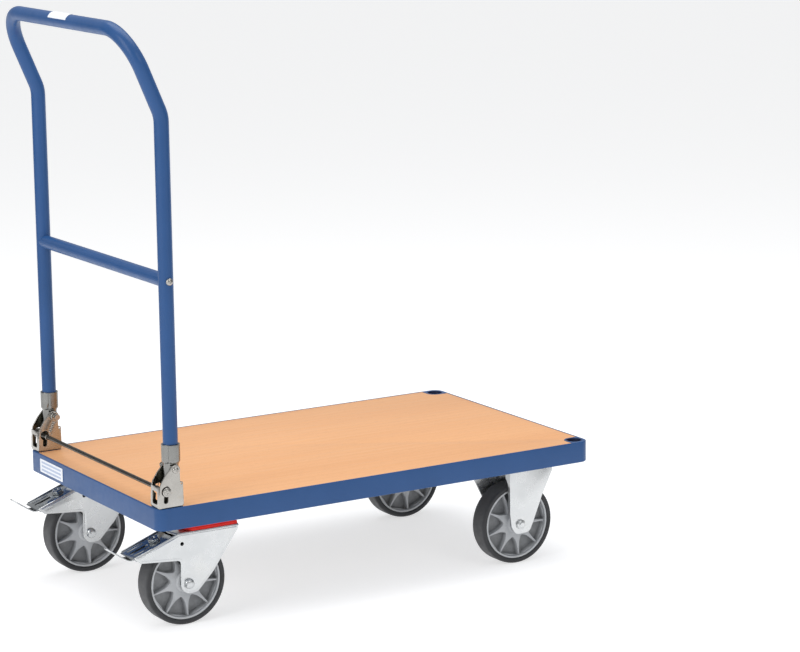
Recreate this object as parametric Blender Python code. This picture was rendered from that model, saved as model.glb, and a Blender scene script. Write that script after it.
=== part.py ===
"""Folding platform cart: steel frame with a wooden deck, a push handle that folds down onto the deck,
two swivel castors with brakes under the handle end and two fixed castors under the far end.

Lengths in this file are millimetres in the cart's own layout: x runs from the handle end along the deck,
y across it (the right-hand side is -y), z up from the floor. put() turns them into the scene's metres and
moves the plan origin to the middle of the whole object's box, on the floor.
"""

import math

import bmesh
import bpy
from mathutils import Matrix, Vector

# ---------------------------------------------------------------- driving dimensions (mm)
PLATFORM_LENGTH = 932.0
PLATFORM_WIDTH = 552.0
DECK_TOP = 236.3            # top of the steel edge above the floor
FRAME_HEIGHT = 40.7         # height of the steel edge
FRAME_WALL = 3.0
FRAME_CORNER = 20.0         # radius of the vertical corners
LEDGE_DEPTH = 15.3          # the ledge that carries the board, below the frame's top
BOARD_GAP = 0.4

WHEEL_RADIUS = 80.0
WHEEL_WIDTH = 40.0
RIM_RADIUS = 69.8
RIM_SPOKES = 9
CASTER_Y = 205.0            # castor centre lines, each side of the middle
KINGPIN_X = 120.0
SWIVEL_AXLE_X = 77.7
FIXED_AXLE_X = 797.0
FORK_OUTER = 29.7           # half width over the fork's cheeks
FORK_SHEET = 3.0
CASTER_PLATE = (137.0, 105.0, 3.5)

HANDLE_X = 37.4             # leg and hinge line
HANDLE_Y = 256.5
TUBE_RADIUS = 13.45
TUBE_WALL = 2.0
PIVOT_Z = DECK_TOP + 68.0
ELBOW_Z = DECK_TOP + 696.0
TOPBAR_X = -26.0
TOPBAR_Z = DECK_TOP + 846.5
CORNER_BEND = 75.0
ELBOW_BEND = 60.0
CROSSBAR_Z = DECK_TOP + 406.0
CROSSBAR_RADIUS = 12.5

STUB_RADIUS = 13.5          # narrowed lower end of the hinge tube
STUB_LENGTH = 34.5          # below the pivot
CHEEK_GAP = 29.0            # between the bracket's two cheeks
CHEEK_SHEET = 3.0
ROD_RADIUS = 4.0
ROD_REST = (-18.64, -37.5)  # foot lock bar, from the pivot (x, z)
ROD_SLOPE = 0.107           # how far the slot leans for each mm it drops
SLOT_TOP = -31.2
SLOT_BOTTOM = -54.3
SLOT_HALF = 4.4

PEDAL_PIVOT = (66.0, 155.5)
PEDAL_TIP_X = -73.0

FRAME_BOTTOM = DECK_TOP - FRAME_HEIGHT
ORIGIN_X = (PLATFORM_LENGTH + PEDAL_TIP_X) / 2.0
UNIT = 0.001

# ---------------------------------------------------------------- start from an empty scene
for old in list(bpy.data.objects):
    bpy.data.objects.remove(old, do_unlink=True)
for old in list(bpy.data.meshes):
    bpy.data.meshes.remove(old)


def material(name, colour, metallic, roughness):
    m = bpy.data.materials.new(name)
    m.use_nodes = True
    b = m.node_tree.nodes["Principled BSDF"]
    b.inputs["Base Color"].default_value = (*colour, 1.0)
    b.inputs["Metallic"].default_value = metallic
    b.inputs["Roughness"].default_value = roughness
    m.diffuse_color = (*colour, 1.0)
    return m


BLUE = material("blue_powder_coat", (0.055, 0.150, 0.330), 0.0, 0.38)
BEECH = material("beech_board", (0.830, 0.500, 0.260), 0.0, 0.42)
ZINC = material("bright_zinc", (0.740, 0.770, 0.790), 0.9, 0.30)
NICKEL = material("bracket_steel", (0.560, 0.540, 0.500), 1.0, 0.32)
RUBBER = material("grey_rubber", (0.065, 0.067, 0.072), 0.0, 0.62)
NYLON = material("grey_nylon_rim", (0.330, 0.345, 0.360), 0.0, 0.48)
RED = material("red_seal", (0.720, 0.030, 0.020), 0.0, 0.40)
NAVY = material("navy_socket", (0.012, 0.018, 0.085), 0.0, 0.45)
PAPER = material("white_label", (0.820, 0.850, 0.900), 0.0, 0.50)


# ---------------------------------------------------------------- shape helpers
def put(p):
    return Vector(((p[0] - ORIGIN_X) * UNIT, p[1] * UNIT, p[2] * UNIT))


def solid(bm):
    """Closes a bmesh drawn in cart millimetres into a working object in scene metres."""
    bmesh.ops.remove_doubles(bm, verts=bm.verts, dist=0.0005)
    for v in bm.verts:
        v.co = put(v.co)
    bmesh.ops.recalc_face_normals(bm, faces=bm.faces)
    me = bpy.data.meshes.new("shape")
    bm.to_mesh(me)
    bm.free()
    ob = bpy.data.objects.new("shape", me)
    bpy.context.scene.collection.objects.link(ob)
    return ob


def combine(ob, tools, operation):
    """Applies each tool to ob with an exact Boolean, then removes the tool."""
    for tool in tools:
        mod = ob.modifiers.new("bool", "BOOLEAN")
        mod.solver = "EXACT"
        mod.operation = operation
        mod.object = tool
        graph = bpy.context.evaluated_depsgraph_get()
        graph.update()
        me = bpy.data.meshes.new_from_object(ob.evaluated_get(graph))
        ob.modifiers.clear()
        old = ob.data
        ob.data = me
        bpy.data.meshes.remove(old)
        bpy.data.objects.remove(tool, do_unlink=True)
    bm = bmesh.new()
    bm.from_mesh(ob.data)
    bmesh.ops.remove_doubles(bm, verts=bm.verts, dist=2e-6)
    bm.to_mesh(ob.data)
    bm.free()
    return ob


def join(ob, *tools):
    return combine(ob, tools, "UNION")


def cut(ob, *tools):
    return combine(ob, tools, "DIFFERENCE")


def fillet(points, steps=4):
    """Polygon from (a, b) or (a, b, radius) corners, with the corners that have a radius rounded."""
    out = []
    n = len(points)
    for i, p in enumerate(points):
        radius = p[2] if len(p) > 2 else 0.0
        here = Vector(p[:2])
        if radius <= 0.0:
            out.append((here.x, here.y))
            continue
        a = Vector(points[i - 1][:2]) - here
        b = Vector(points[(i + 1) % n][:2]) - here
        a.normalize()
        b.normalize()
        half = math.acos(max(-1.0, min(1.0, a.dot(b)))) / 2.0
        reach = radius / math.tan(half)
        start, end = here + a * reach, here + b * reach
        centre = here + (a + b).normalized() * (radius / math.sin(half))
        v0, v1 = start - centre, end - centre
        turn = math.atan2(v0.x * v1.y - v0.y * v1.x, v0.dot(v1))
        base = math.atan2(v0.y, v0.x)
        for k in range(steps + 1):
            t = base + turn * k / steps
            out.append((centre.x + radius * math.cos(t), centre.y + radius * math.sin(t)))
    return out


def prism(outline, low, high, axis):
    """Extrudes a 2-D outline: axis Y takes (x, z), axis Z takes (x, y), axis X takes (y, z)."""
    bm = bmesh.new()

    def at(p, h):
        return {"Y": (p[0], h, p[1]), "Z": (p[0], p[1], h), "X": (h, p[0], p[1])}[axis]

    a = [bm.verts.new(at(p, low)) for p in outline]
    b = [bm.verts.new(at(p, high)) for p in outline]
    bm.faces.new(a)
    bm.faces.new(list(reversed(b)))
    n = len(outline)
    for i in range(n):
        bm.faces.new((a[i], b[i], b[(i + 1) % n], a[(i + 1) % n]))
    return solid(bm)


def box(low, high):
    return prism(
        [(low[0], low[1]), (high[0], low[1]), (high[0], high[1]), (low[0], high[1])],
        low[2],
        high[2],
        "Z",
    )


def stadium(p, q, radius, steps=6):
    """Outline of a slot with round ends from p to q."""
    p, q = Vector(p), Vector(q)
    base = math.atan2(q.y - p.y, q.x - p.x)
    out = []
    for centre, start in ((p, base + math.pi / 2), (q, base - math.pi / 2)):
        for k in range(steps + 1):
            t = start + math.pi * k / steps
            out.append((centre.x + radius * math.cos(t), centre.y + radius * math.sin(t)))
    return out


def circle(centre, radius, steps, phase=0.0):
    return [
        (
            centre[0] + radius * math.cos(phase + 2 * math.pi * k / steps),
            centre[1] + radius * math.sin(phase + 2 * math.pi * k / steps),
        )
        for k in range(steps)
    ]


def frame_of(axis):
    w = Vector(axis).normalized()
    u = Vector((1, 0, 0)) if abs(w.x) < 0.9 else Vector((0, 0, 1))
    u = (u - w * u.dot(w)).normalized()
    return u, w.cross(u), w


def lathe(profile, centre, axis, steps, phase=0.0):
    """Turns (radius, height) points about an axis. A profile that leaves the axis is closed on itself."""
    u, v, w = frame_of(axis)
    centre = Vector(centre)
    bm = bmesh.new()
    shared = {}
    rings = []
    for k in range(steps):
        t = phase + 2 * math.pi * k / steps
        d = u * math.cos(t) + v * math.sin(t)
        ring = []
        for i, (r, h) in enumerate(profile):
            if r <= 1e-9:
                if i not in shared:
                    shared[i] = bm.verts.new(centre + w * h)
                ring.append(shared[i])
            else:
                ring.append(bm.verts.new(centre + d * r + w * h))
        rings.append(ring)
    n = len(profile)
    for k in range(steps):
        a, b = rings[k], rings[(k + 1) % steps]
        for i in range(n):
            j = (i + 1) % n
            corners = []
            for c in (a[i], a[j], b[j], b[i]):
                if c not in corners:
                    corners.append(c)
            if len(corners) >= 3:
                bm.faces.new(corners)
    return solid(bm)


def bend(points, steps):
    """Polyline in space whose inner corners, given as (point, radius), become arcs."""
    out = [Vector(points[0][0])]
    for i in range(1, len(points) - 1):
        here, radius = Vector(points[i][0]), points[i][1]
        a = (Vector(points[i - 1][0]) - here).normalized()
        b = (Vector(points[i + 1][0]) - here).normalized()
        half = math.acos(a.dot(b)) / 2.0
        reach = radius / math.tan(half)
        start = here + a * reach
        centre = here + (a + b).normalized() * (radius / math.sin(half))
        axis = (here + b * reach - centre).cross(start - centre).normalized()
        turn = math.pi - 2 * half
        count = steps[i]
        for k in range(count + 1):
            out.append(centre + Matrix.Rotation(-turn * k / count, 3, axis) @ (start - centre))
    out.append(Vector(points[-1][0]))
    return out


def sweep(path, radius, sides, inner=0.0, phase=0.0, side=None):
    """Round bar or tube along a path. With an inner radius the tube is open at both ends."""
    path = [Vector(p) for p in path]
    tangents = []
    for i in range(len(path)):
        a = path[max(i - 1, 0)]
        b = path[min(i + 1, len(path) - 1)]
        tangents.append((b - a).normalized())
    normal = Vector(side) if side else frame_of(tangents[0])[0]
    bm = bmesh.new()
    outer, inside = [], []
    for p, t in zip(path, tangents):
        normal = (normal - t * normal.dot(t)).normalized()
        other = t.cross(normal)
        ring, ring_in = [], []
        for k in range(sides):
            s = phase + 2 * math.pi * k / sides
            d = normal * math.cos(s) + other * math.sin(s)
            ring.append(bm.verts.new(p + d * radius))
            if inner:
                ring_in.append(bm.verts.new(p + d * inner))
        outer.append(ring)
        inside.append(ring_in)

    def skin(rings, flip):
        for a, b in zip(rings, rings[1:]):
            for k in range(sides):
                m = (k + 1) % sides
                f = (a[k], a[m], b[m], b[k])
                bm.faces.new(tuple(reversed(f)) if flip else f)

    skin(outer, False)
    if inner:
        skin(inside, True)
        for ring, ring_in, flip in ((outer[0], inside[0], True), (outer[-1], inside[-1], False)):
            for k in range(sides):
                m = (k + 1) % sides
                f = (ring[k], ring[m], ring_in[m], ring_in[k])
                bm.faces.new(tuple(reversed(f)) if flip else f)
    else:
        bm.faces.new(list(reversed(outer[0])))
        bm.faces.new(outer[-1])
    return solid(bm)


bodies = {}


def body(name, pivot=None, parent=None):
    """An empty on the body's joint axis. Its pieces are parented to it."""
    e = bpy.data.objects.new("axis_" + name, None)
    e.empty_display_size = 0.03
    bpy.context.scene.collection.objects.link(e)
    world = put(pivot) if pivot else Vector((0, 0, 0))
    if parent:
        e.parent = bodies[parent][0]
        e.location = world - bodies[parent][1]
    else:
        e.location = world
    bodies[name] = (e, world)


def node(name, ob, mat, owner, origin=None, smooth=True):
    """Names a finished shape, gives it its material, its own origin and its place under its body."""
    empty, base = bodies[owner]
    spot = put(origin) if origin else base
    ob.data.transform(Matrix.Translation(-spot))
    ob.data.name = name
    ob.name = name
    ob.data.materials.clear()
    ob.data.materials.append(mat)
    ob.parent = empty
    ob.location = spot - base
    if smooth:
        ob.data.shade_smooth()
        ob.data.set_sharp_from_angle(angle=math.radians(32))
    return ob


SIDES = (("right", -1.0), ("left", 1.0))

body("platform")
body("handle", (HANDLE_X, 0, PIVOT_Z), "platform")
body("foot_lock", (HANDLE_X + ROD_REST[0], 0, PIVOT_Z + ROD_REST[1]), "platform")
for side_name, s in SIDES:
    body("caster_" + side_name, (KINGPIN_X, s * CASTER_Y, FRAME_BOTTOM), "platform")
    body("brake_" + side_name, (PEDAL_PIVOT[0], s * CASTER_Y, PEDAL_PIVOT[1]), "caster_" + side_name)
    body("swivel_wheel_" + side_name, (SWIVEL_AXLE_X, s * CASTER_Y, WHEEL_RADIUS), "caster_" + side_name)
    body("fixed_wheel_" + side_name, (FIXED_AXLE_X, s * CASTER_Y, WHEEL_RADIUS), "platform")


# ---------------------------------------------------------------- platform
def ring_section(profile):
    """Carries an edge section, given as (inset, z), once round the platform's rounded rectangle."""
    bm = bmesh.new()
    hx, hy = PLATFORM_LENGTH / 2, PLATFORM_WIDTH / 2
    rings = []
    for quadrant, (sx, sy) in enumerate(((1, 1), (-1, 1), (-1, -1), (1, -1))):
        for k in range(6):
            t = math.radians(90 * quadrant + 18 * k)
            ring = []
            for inset, z in profile:
                r = max(FRAME_CORNER - inset, 0.0)
                c = max(FRAME_CORNER, inset)
                ring.append(
                    bm.verts.new(
                        (
                            hx + sx * (hx - c) + r * math.cos(t),
                            sy * (hy - c) + r * math.sin(t),
                            z,
                        )
                    )
                )
            rings.append(ring)
    n = len(profile)
    for a, b in zip(rings, rings[1:] + rings[:1]):
        for i in range(n):
            bm.faces.new((a[i], a[(i + 1) % n], b[(i + 1) % n], b[i]))
    bmesh.ops.remove_doubles(bm, verts=bm.verts, dist=0.001)
    return solid(bm)


SOCKET = (PLATFORM_LENGTH - 22.0, PLATFORM_WIDTH / 2 - 23.0)
SOCKET_BORE = 15.5
SOCKET_STEPS = 16
GUSSET = 18.5

z0, z1 = FRAME_BOTTOM, DECK_TOP
ledge = z1 - LEDGE_DEPTH
frame_ring = ring_section(
    [(0, z0), (0, z1), (3, z1), (3, ledge), (28, ledge), (28, ledge - 3), (3, ledge - 3), (3, z0 + 3), (40, z0 + 3), (40, z0)]
)
extras = []
for s in (-1, 1):
    # gusset under each hinge bracket
    w = s * (PLATFORM_WIDTH / 2 - 1.5)
    outline = [(51, s * 241), (51, w), (1.5, w, 18.5), (1.5, s * 241)]
    extras.append(prism(fillet(outline, 4), z1 - 4, z1, "Z"))
    # gusset round each corner socket, then the socket's own tube
    e = PLATFORM_LENGTH - 1.5
    outline = [
        (SOCKET[0] - GUSSET, w),
        (e, w, 18.5),
        (e, s * (SOCKET[1] - GUSSET)),
        (SOCKET[0] - GUSSET, s * (SOCKET[1] - GUSSET), GUSSET - 0.01),
    ]
    extras.append(prism(fillet(outline, 4), z1 - 4, z1, "Z"))
    extras.append(
        prism(circle((SOCKET[0], s * SOCKET[1]), GUSSET - 0.5, SOCKET_STEPS), z0 + 2, z1 - 2, "Z")
    )
    # plates the castors are bolted to
    for x_in, x_out in ((198.0, 1.5), (712.0, e)):
        outline = [(x_in, s * 146), (x_in, w), (x_out, w, 18.5), (x_out, s * 146)]
        extras.append(prism(fillet(outline, 4), z0 + 0.3, z0 + 4, "Z"))
for x in (330.0, 600.0):
    beam = box((x - 15, -274, z0 + 3.6), (x + 15, 274, ledge - 0.3))
    extras.append(cut(beam, box((x - 12.5, -271, z0 + 1), (x + 12.5, 271, ledge - 2.8))))
frame_ring = join(frame_ring, *extras)
bores = [
    prism(circle((SOCKET[0], s * SOCKET[1]), SOCKET_BORE, SOCKET_STEPS), z0 + 6, z1 + 5, "Z")
    for s in (-1, 1)
]
node("platform_frame", cut(frame_ring, *bores), BLUE, "platform", (PLATFORM_LENGTH / 2, 0, z0))

g = BOARD_GAP
m = FRAME_WALL + g
edge_y = PLATFORM_WIDTH / 2 - m
notch_x = SOCKET[0] - GUSSET - g
notch_y = SOCKET[1] - GUSSET - g
board_outline = [
    (m, -241 + g),
    (51 + g, -241 + g),
    (51 + g, -edge_y),
    (notch_x, -edge_y),
    (notch_x, -notch_y, GUSSET + g),
    (PLATFORM_LENGTH - m, -notch_y),
    (PLATFORM_LENGTH - m, notch_y),
    (notch_x, notch_y, GUSSET + g),
    (notch_x, edge_y),
    (51 + g, edge_y),
    (51 + g, 241 - g),
    (m, 241 - g),
]
node(
    "deck_board",
    prism(fillet(board_outline, 4), ledge + g, z1 - 0.3, "Z"),
    BEECH,
    "platform",
    (PLATFORM_LENGTH / 2, 0, ledge + g),
    smooth=False,
)

for side_name, s in SIDES:
    cup = [(0, z0 + 8), (15.2, z0 + 8), (15.2, z1 - 0.2), (13.0, z1 - 0.2), (13.0, z0 + 11), (0, z0 + 11)]
    node(
        "corner_socket_" + side_name,
        lathe(cup, (SOCKET[0], s * SOCKET[1], 0), (0, 0, 1), SOCKET_STEPS),
        NAVY,
        "platform",
        (SOCKET[0], s * SOCKET[1], z1),
    )

node(
    "identification_label",
    prism(fillet([(124, 202.5, 2), (225, 202.5, 2), (225, 228.5, 2), (124, 228.5, 2)], 2), -0.9, -0.35, "X"),
    PAPER,
    "platform",
    (-0.9, 174.5, 215.5),
    smooth=False,
)

# ---------------------------------------------------------------- hinge brackets
CHEEK = [
    (-34.0, -67.6, 3),
    (15.0, -67.6, 5),
    (14.2, -22.7, 2),
    (8.9, -21.5, 1.5),
    (8.6, -5.5),
    (9.4, 0.6),
    (7.6, 5.6),
    (3.4, 9.0),
    (-2.0, 9.3),
    (-7.4, 7.0),
    (-20.4, -7.5, 12),
    (-30.2, -22.0, 14),
    (-33.0, -43.0, 20),
]


def rod_at(z):
    """The lock bar's place from the pivot when it is z below it."""
    return (ROD_REST[0] + ROD_SLOPE * (z - ROD_REST[1]), z)


for side_name, s in SIDES:
    pivot = Vector((HANDLE_X, s * HANDLE_Y, PIVOT_Z))
    half = CHEEK_GAP / 2
    outer = half + CHEEK_SHEET
    outline = [(HANDLE_X + x, PIVOT_Z + z) for x, z in fillet(CHEEK, 2)]
    near = prism(outline, pivot.y - outer, pivot.y - half, "Y")
    far = prism(outline, pivot.y + half, pivot.y + outer, "Y")
    web = box(
        (pivot.x - 33.6, pivot.y - half - 0.5, pivot.z - 66.9),
        (pivot.x - 30.6, pivot.y + half + 0.5, pivot.z - 28.0),
    )
    base = box(
        (pivot.x - 33.2, pivot.y - half - 0.5, pivot.z - 67.3),
        (pivot.x + 14.6, pivot.y + half + 0.5, pivot.z - 64.3),
    )
    bracket = join(near, web, base, far)
    window = box((pivot.x - 40, pivot.y - 9.5, pivot.z - 60.5), (pivot.x - 27, pivot.y + 9.5, pivot.z - 36.5))
    hole = prism(circle((pivot.x, pivot.z), 5.4, 12), pivot.y - 25, pivot.y + 25, "Y")
    a, b = rod_at(SLOT_TOP), rod_at(SLOT_BOTTOM)
    slot = prism(
        stadium((pivot.x + a[0], pivot.z + a[1]), (pivot.x + b[0], pivot.z + b[1]), SLOT_HALF, 4),
        pivot.y - 25,
        pivot.y + 25,
        "Y",
    )
    node("hinge_bracket_" + side_name, cut(bracket, window, hole, slot), NICKEL, "platform", pivot)

    # pivot bolt: domed head outside, nut inside, and a grooved end that holds the spring
    bolt = [
        (0, 21.6), (4.5, 21.3), (7.0, 20.0), (8.0, 18.6), (8.0, 17.9), (5.0, 17.9), (5.0, -17.9),
        (8.2, -17.9), (8.2, -23.9), (4.0, -23.9), (4.0, -33.5), (5.4, -33.5), (5.4, -35.2), (0, -35.2),
    ]
    node(
        "handle_pivot_bolt_" + side_name,
        lathe(bolt, pivot, (0, s, 0), 12),
        ZINC,
        "platform",
        pivot,
    )

    # tension spring from the pivot bolt's end to the lock bar
    c0 = Vector((pivot.x, pivot.y - s * 29.0, pivot.z))
    c1 = Vector((pivot.x + ROD_REST[0], c0.y, pivot.z + ROD_REST[1]))
    along = (c1 - c0).normalized()
    across = Vector((along.z, 0, -along.x))
    if across.x < 0:
        across.negate()
    out = Vector((0, 1, 0))
    length = (c1 - c0).length
    hook, coil, wire, turns, per = 5.2, 4.0, 0.8, 6, 7
    path = []
    for k in range(6):
        t = math.radians(200 - 200 * k / 5)
        path.append(c0 + across * hook * math.cos(t) - along * hook * math.sin(t))
    start, stop = 10.0, length - 10.0
    for k in range(turns * per + 1):
        t = 2 * math.pi * k / per
        path.append(
            c0 + along * (start + (stop - start) * k / (turns * per)) + (across * math.cos(t) + out * math.sin(t)) * coil
        )
    for k in range(6):
        t = math.radians(200 * k / 5)
        path.append(c1 + across * hook * math.cos(t) + along * hook * math.sin(t))
    node(
        "lock_spring_" + side_name,
        sweep(path, wire, 4, side=(0, 1, 0)),
        ZINC,
        "platform",
        c0,
    )

# ---------------------------------------------------------------- foot lock bar
rod_centre = (HANDLE_X + ROD_REST[0], 0, PIVOT_Z + ROD_REST[1])
reach = HANDLE_Y + CHEEK_GAP / 2 + CHEEK_SHEET + 0.2
node(
    "foot_lock_bar",
    lathe([(0, -reach), (3.4, -reach), (4, -reach + 0.8), (4, reach - 0.8), (3.4, reach), (0, reach)], rod_centre, (0, 1, 0), 12),
    NICKEL,
    "foot_lock",
)
for side_name, s in SIDES:
    cap = [(0, reach + 4.6), (3.0, reach + 4.6), (5.6, reach + 3.6), (5.6, reach + 2.2), (8.5, reach + 1.8), (8.5, reach + 0.4), (0, reach + 0.4)]
    node(
        "lock_bar_end_bolt_" + side_name,
        lathe(cap, rod_centre, (0, s, 0), 12),
        ZINC,
        "foot_lock",
        (rod_centre[0], s * (reach + 0.4), rod_centre[2]),
    )

# ---------------------------------------------------------------- handle
SWEEP_SIDES = 16
lean = Vector((TOPBAR_X - HANDLE_X, 0, TOPBAR_Z - ELBOW_Z))
corners = [
    ((HANDLE_X, -HANDLE_Y, PIVOT_Z + 16.5), 0),
    ((HANDLE_X, -HANDLE_Y, ELBOW_Z), ELBOW_BEND),
    ((TOPBAR_X, -HANDLE_Y, TOPBAR_Z), CORNER_BEND),
    ((TOPBAR_X, HANDLE_Y, TOPBAR_Z), CORNER_BEND),
    ((HANDLE_X, HANDLE_Y, ELBOW_Z), ELBOW_BEND),
    ((HANDLE_X, HANDLE_Y, PIVOT_Z + 16.5), 0),
]
bow = sweep(
    bend(corners, (0, 3, 6, 6, 3, 0)), TUBE_RADIUS, SWEEP_SIDES, TUBE_RADIUS - TUBE_WALL, 0.0, (1, 0, 0)
)
drills = [
    prism(circle((HANDLE_X, CROSSBAR_Z), 3.4, 10), s * HANDLE_Y - 20, s * HANDLE_Y + 20, "Y") for s in (-1, 1)
]
node("handle_bow", cut(bow, *drills), BLUE, "handle")

bar = sweep(
    [(HANDLE_X, -HANDLE_Y, CROSSBAR_Z), (HANDLE_X, HANDLE_Y, CROSSBAR_Z)],
    CROSSBAR_RADIUS, 14, CROSSBAR_RADIUS - 2.0, 0.0, (1, 0, 0),
)
copes = [
    prism(circle((HANDLE_X, s * HANDLE_Y), TUBE_RADIUS + 0.32, SWEEP_SIDES), CROSSBAR_Z - 30, CROSSBAR_Z + 30, "Z")
    for s in (-1, 1)
]
node("handle_crossbar", cut(bar, *copes), BLUE, "handle", (HANDLE_X, 0, CROSSBAR_Z))

for side_name, s in SIDES:
    pivot = Vector((HANDLE_X, s * HANDLE_Y, PIVOT_Z))
    sleeve = [
        (STUB_RADIUS, -STUB_LENGTH), (STUB_RADIUS, 8.5), (16.8, 13.5), (16.8, 44.6), (16.4, 45.2), (13.8, 45.2),
        (13.8, 16.0), (11.2, 16.0), (11.2, -STUB_LENGTH),
    ]
    tube = lathe(sleeve, pivot, (0, 0, 1), 16)
    hole = prism(circle((pivot.x, pivot.z), 5.5, 12), pivot.y - 25, pivot.y + 25, "Y")
    node("hinge_tube_" + side_name, cut(tube, hole), NICKEL, "handle", pivot)

    screw = [(0, 17.8), (3.6, 17.6), (6.0, 16.2), (6.5, 15.0), (6.5, 13.8), (3.0, 13.8), (3.0, -26), (0, -26)]
    node(
        "crossbar_screw_" + side_name,
        lathe(screw, (HANDLE_X, s * HANDLE_Y, CROSSBAR_Z), (0, s, 0), 12),
        ZINC,
        "handle",
        (HANDLE_X, s * (HANDLE_Y + 13.8), CROSSBAR_Z),
    )

# small blank sticker wrapped over the top of the handle
arc = []
for radius, order in ((TUBE_RADIUS + 0.35, 1), (TUBE_RADIUS + 0.75, -1)):
    ring = [
        (TOPBAR_X + radius * math.cos(math.radians(t)), TOPBAR_Z + radius * math.sin(math.radians(t)))
        for t in (80, 94, 108, 122, 136, 150, 162)
    ]
    arc += ring[::order]
node("handle_sticker", prism(arc, -42, 32, "Y"), PAPER, "handle", (TOPBAR_X, -5, TOPBAR_Z))

# ---------------------------------------------------------------- wheels
STEPS = 20
FLAT = 1.0 / math.cos(math.pi / STEPS)   # flats at the tread radius, so a wheel rests on a flat
PHASE = math.pi / STEPS + math.pi / 2


def wheel(owner, x, y):
    centre = (x, y, WHEEL_RADIUS)
    h = WHEEL_WIDTH / 2
    tread = [(70.2, -h + 2.2), (73.5, -h), (76.5, -h), (80 * FLAT, -h + 5), (80 * FLAT, h - 5), (76.5, h), (73.5, h), (70.2, h - 2.2)]
    node(owner + "_tyre", lathe(tread, centre, (0, 1, 0), STEPS, PHASE), RUBBER, owner)
    rim = [
        (RIM_RADIUS, -17.6), (RIM_RADIUS, 17.6), (66.2, 17.6), (64.6, 2.0), (20.0, 2.0), (17.6, 20.5), (12.4, 20.5),
        (12.4, -20.5), (17.6, -20.5), (20.0, -2.0), (64.6, -2.0), (66.2, -17.6),
    ]
    rim_body = lathe(rim, centre, (0, 1, 0), STEPS, PHASE)
    spokes = []
    for k in range(RIM_SPOKES):
        t = 2 * math.pi * k / RIM_SPOKES - math.radians(86)
        d = Vector((math.cos(t), math.sin(t)))
        n = Vector((-d.y, d.x))
        c = Vector((x, WHEEL_RADIUS))
        corners = [c + d * 15.2 - n * 2.1, c + d * 67.3 - n * 1.2, c + d * 67.3 + n * 1.2, c + d * 15.2 + n * 2.1]
        spokes.append(prism([(p.x, p.y) for p in corners], y - 14.5, y + 14.5, "Y"))
    node(owner + "_rim", join(rim_body, *spokes), NYLON, owner)
    bush = [(12.0, -26.0), (12.0, 26.0), (6.35, 26.0), (6.35, -26.0)]
    node(owner + "_bush", lathe(bush, centre, (0, 1, 0), 12, PHASE), ZINC, owner)


def axle(owner, name, x, y):
    head = [
        (0, -37.5), (8.6, -37.5), (9.6, -36.5), (9.6, -30.1), (6.0, -30.1), (6.0, 40.5), (5.2, 41.5), (0, 41.5),
    ]
    node(name + "_axle_bolt", lathe(head, (x, y, WHEEL_RADIUS), (0, 1, 0), 12), ZINC, owner, (x, y, WHEEL_RADIUS))
    nut = [(9.6, 30.1), (9.6, 37.0), (8.6, 38.0), (6.35, 38.0), (6.35, 30.1)]
    node(name + "_axle_nut", lathe(nut, (x, y, WHEEL_RADIUS), (0, 1, 0), 12), ZINC, owner, (x, y + 30.1, WHEEL_RADIUS))


# ---------------------------------------------------------------- fixed castors
FIXED_CHEEK = [
    (-23.4, 192.5),
    (69.0, 192.5, 3),
    (76.0, 180.0, 6),
    (51.2, 131.4, 30),
    (29.6, 79.5, 12),
    (21.5, 62.0, 12),
    (-10.0, 60.5, 14),
    (-19.8, 76.0, 10),
    (-23.4, 104.0, 20),
]

for side_name, s in SIDES:
    x, y = FIXED_AXLE_X, s * CASTER_Y
    px, py, pz = CASTER_PLATE
    top = FRAME_BOTTOM - 0.3
    plate = prism(
        fillet([(x - px / 2, y - py / 2, 8), (x + px / 2, y - py / 2, 8), (x + px / 2, y + py / 2, 8), (x - px / 2, y + py / 2, 8)], 3),
        top - pz, top, "Z",
    )
    pieces = []
    for turn in (1, -1):
        outline = [(x + turn * a, b) for a, b in fillet(FIXED_CHEEK, 2)]
        face, back = y - turn * FORK_OUTER, y - turn * (FORK_OUTER - FORK_SHEET)
        pieces.append(prism(outline, min(face, back), max(face, back), "Y"))
        # inward flange on the cheek's upright edge, narrow beside the tyre and wide above it
        flange = [(face + turn * 0.4, 106), (face + turn * 0.4, 192.4), (y - turn * 12.0, 192.4), (y - turn * 14.0, 172), (y - turn * 21.6, 162), (y - turn * 22.6, 112)]
        xa, xb = x - turn * 23.35, x - turn * 20.4
        pieces.append(prism(flange, min(xa, xb), max(xa, xb), "X"))
    holes = prism(circle((x, WHEEL_RADIUS), 6.4, 12), y - 50, y + 50, "Y")
    fork = cut(join(plate, *pieces), holes)
    node("fixed_fork_" + side_name, fork, ZINC, "platform", (x, y, top))
    axle("platform", "fixed_" + side_name, x, y)
    wheel("fixed_wheel_" + side_name, x, y)

# ---------------------------------------------------------------- swivel castors
SWIVEL_CHEEK = [
    (54.5, 173.4, 6),
    (60.0, 175.6, 4),
    (181.6, 175.6, 4),
    (181.8, 168.0, 5),
    (167.0, 147.0, 40),
    (128.8, 94.6, 30),
    (97.0, 62.0, 15),
    (62.6, 56.5, 19),
    (63.6, 124.0, 7),
    (-17.0, 130.9, 3),
    (-29.5, 142.4, 2),
]

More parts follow.
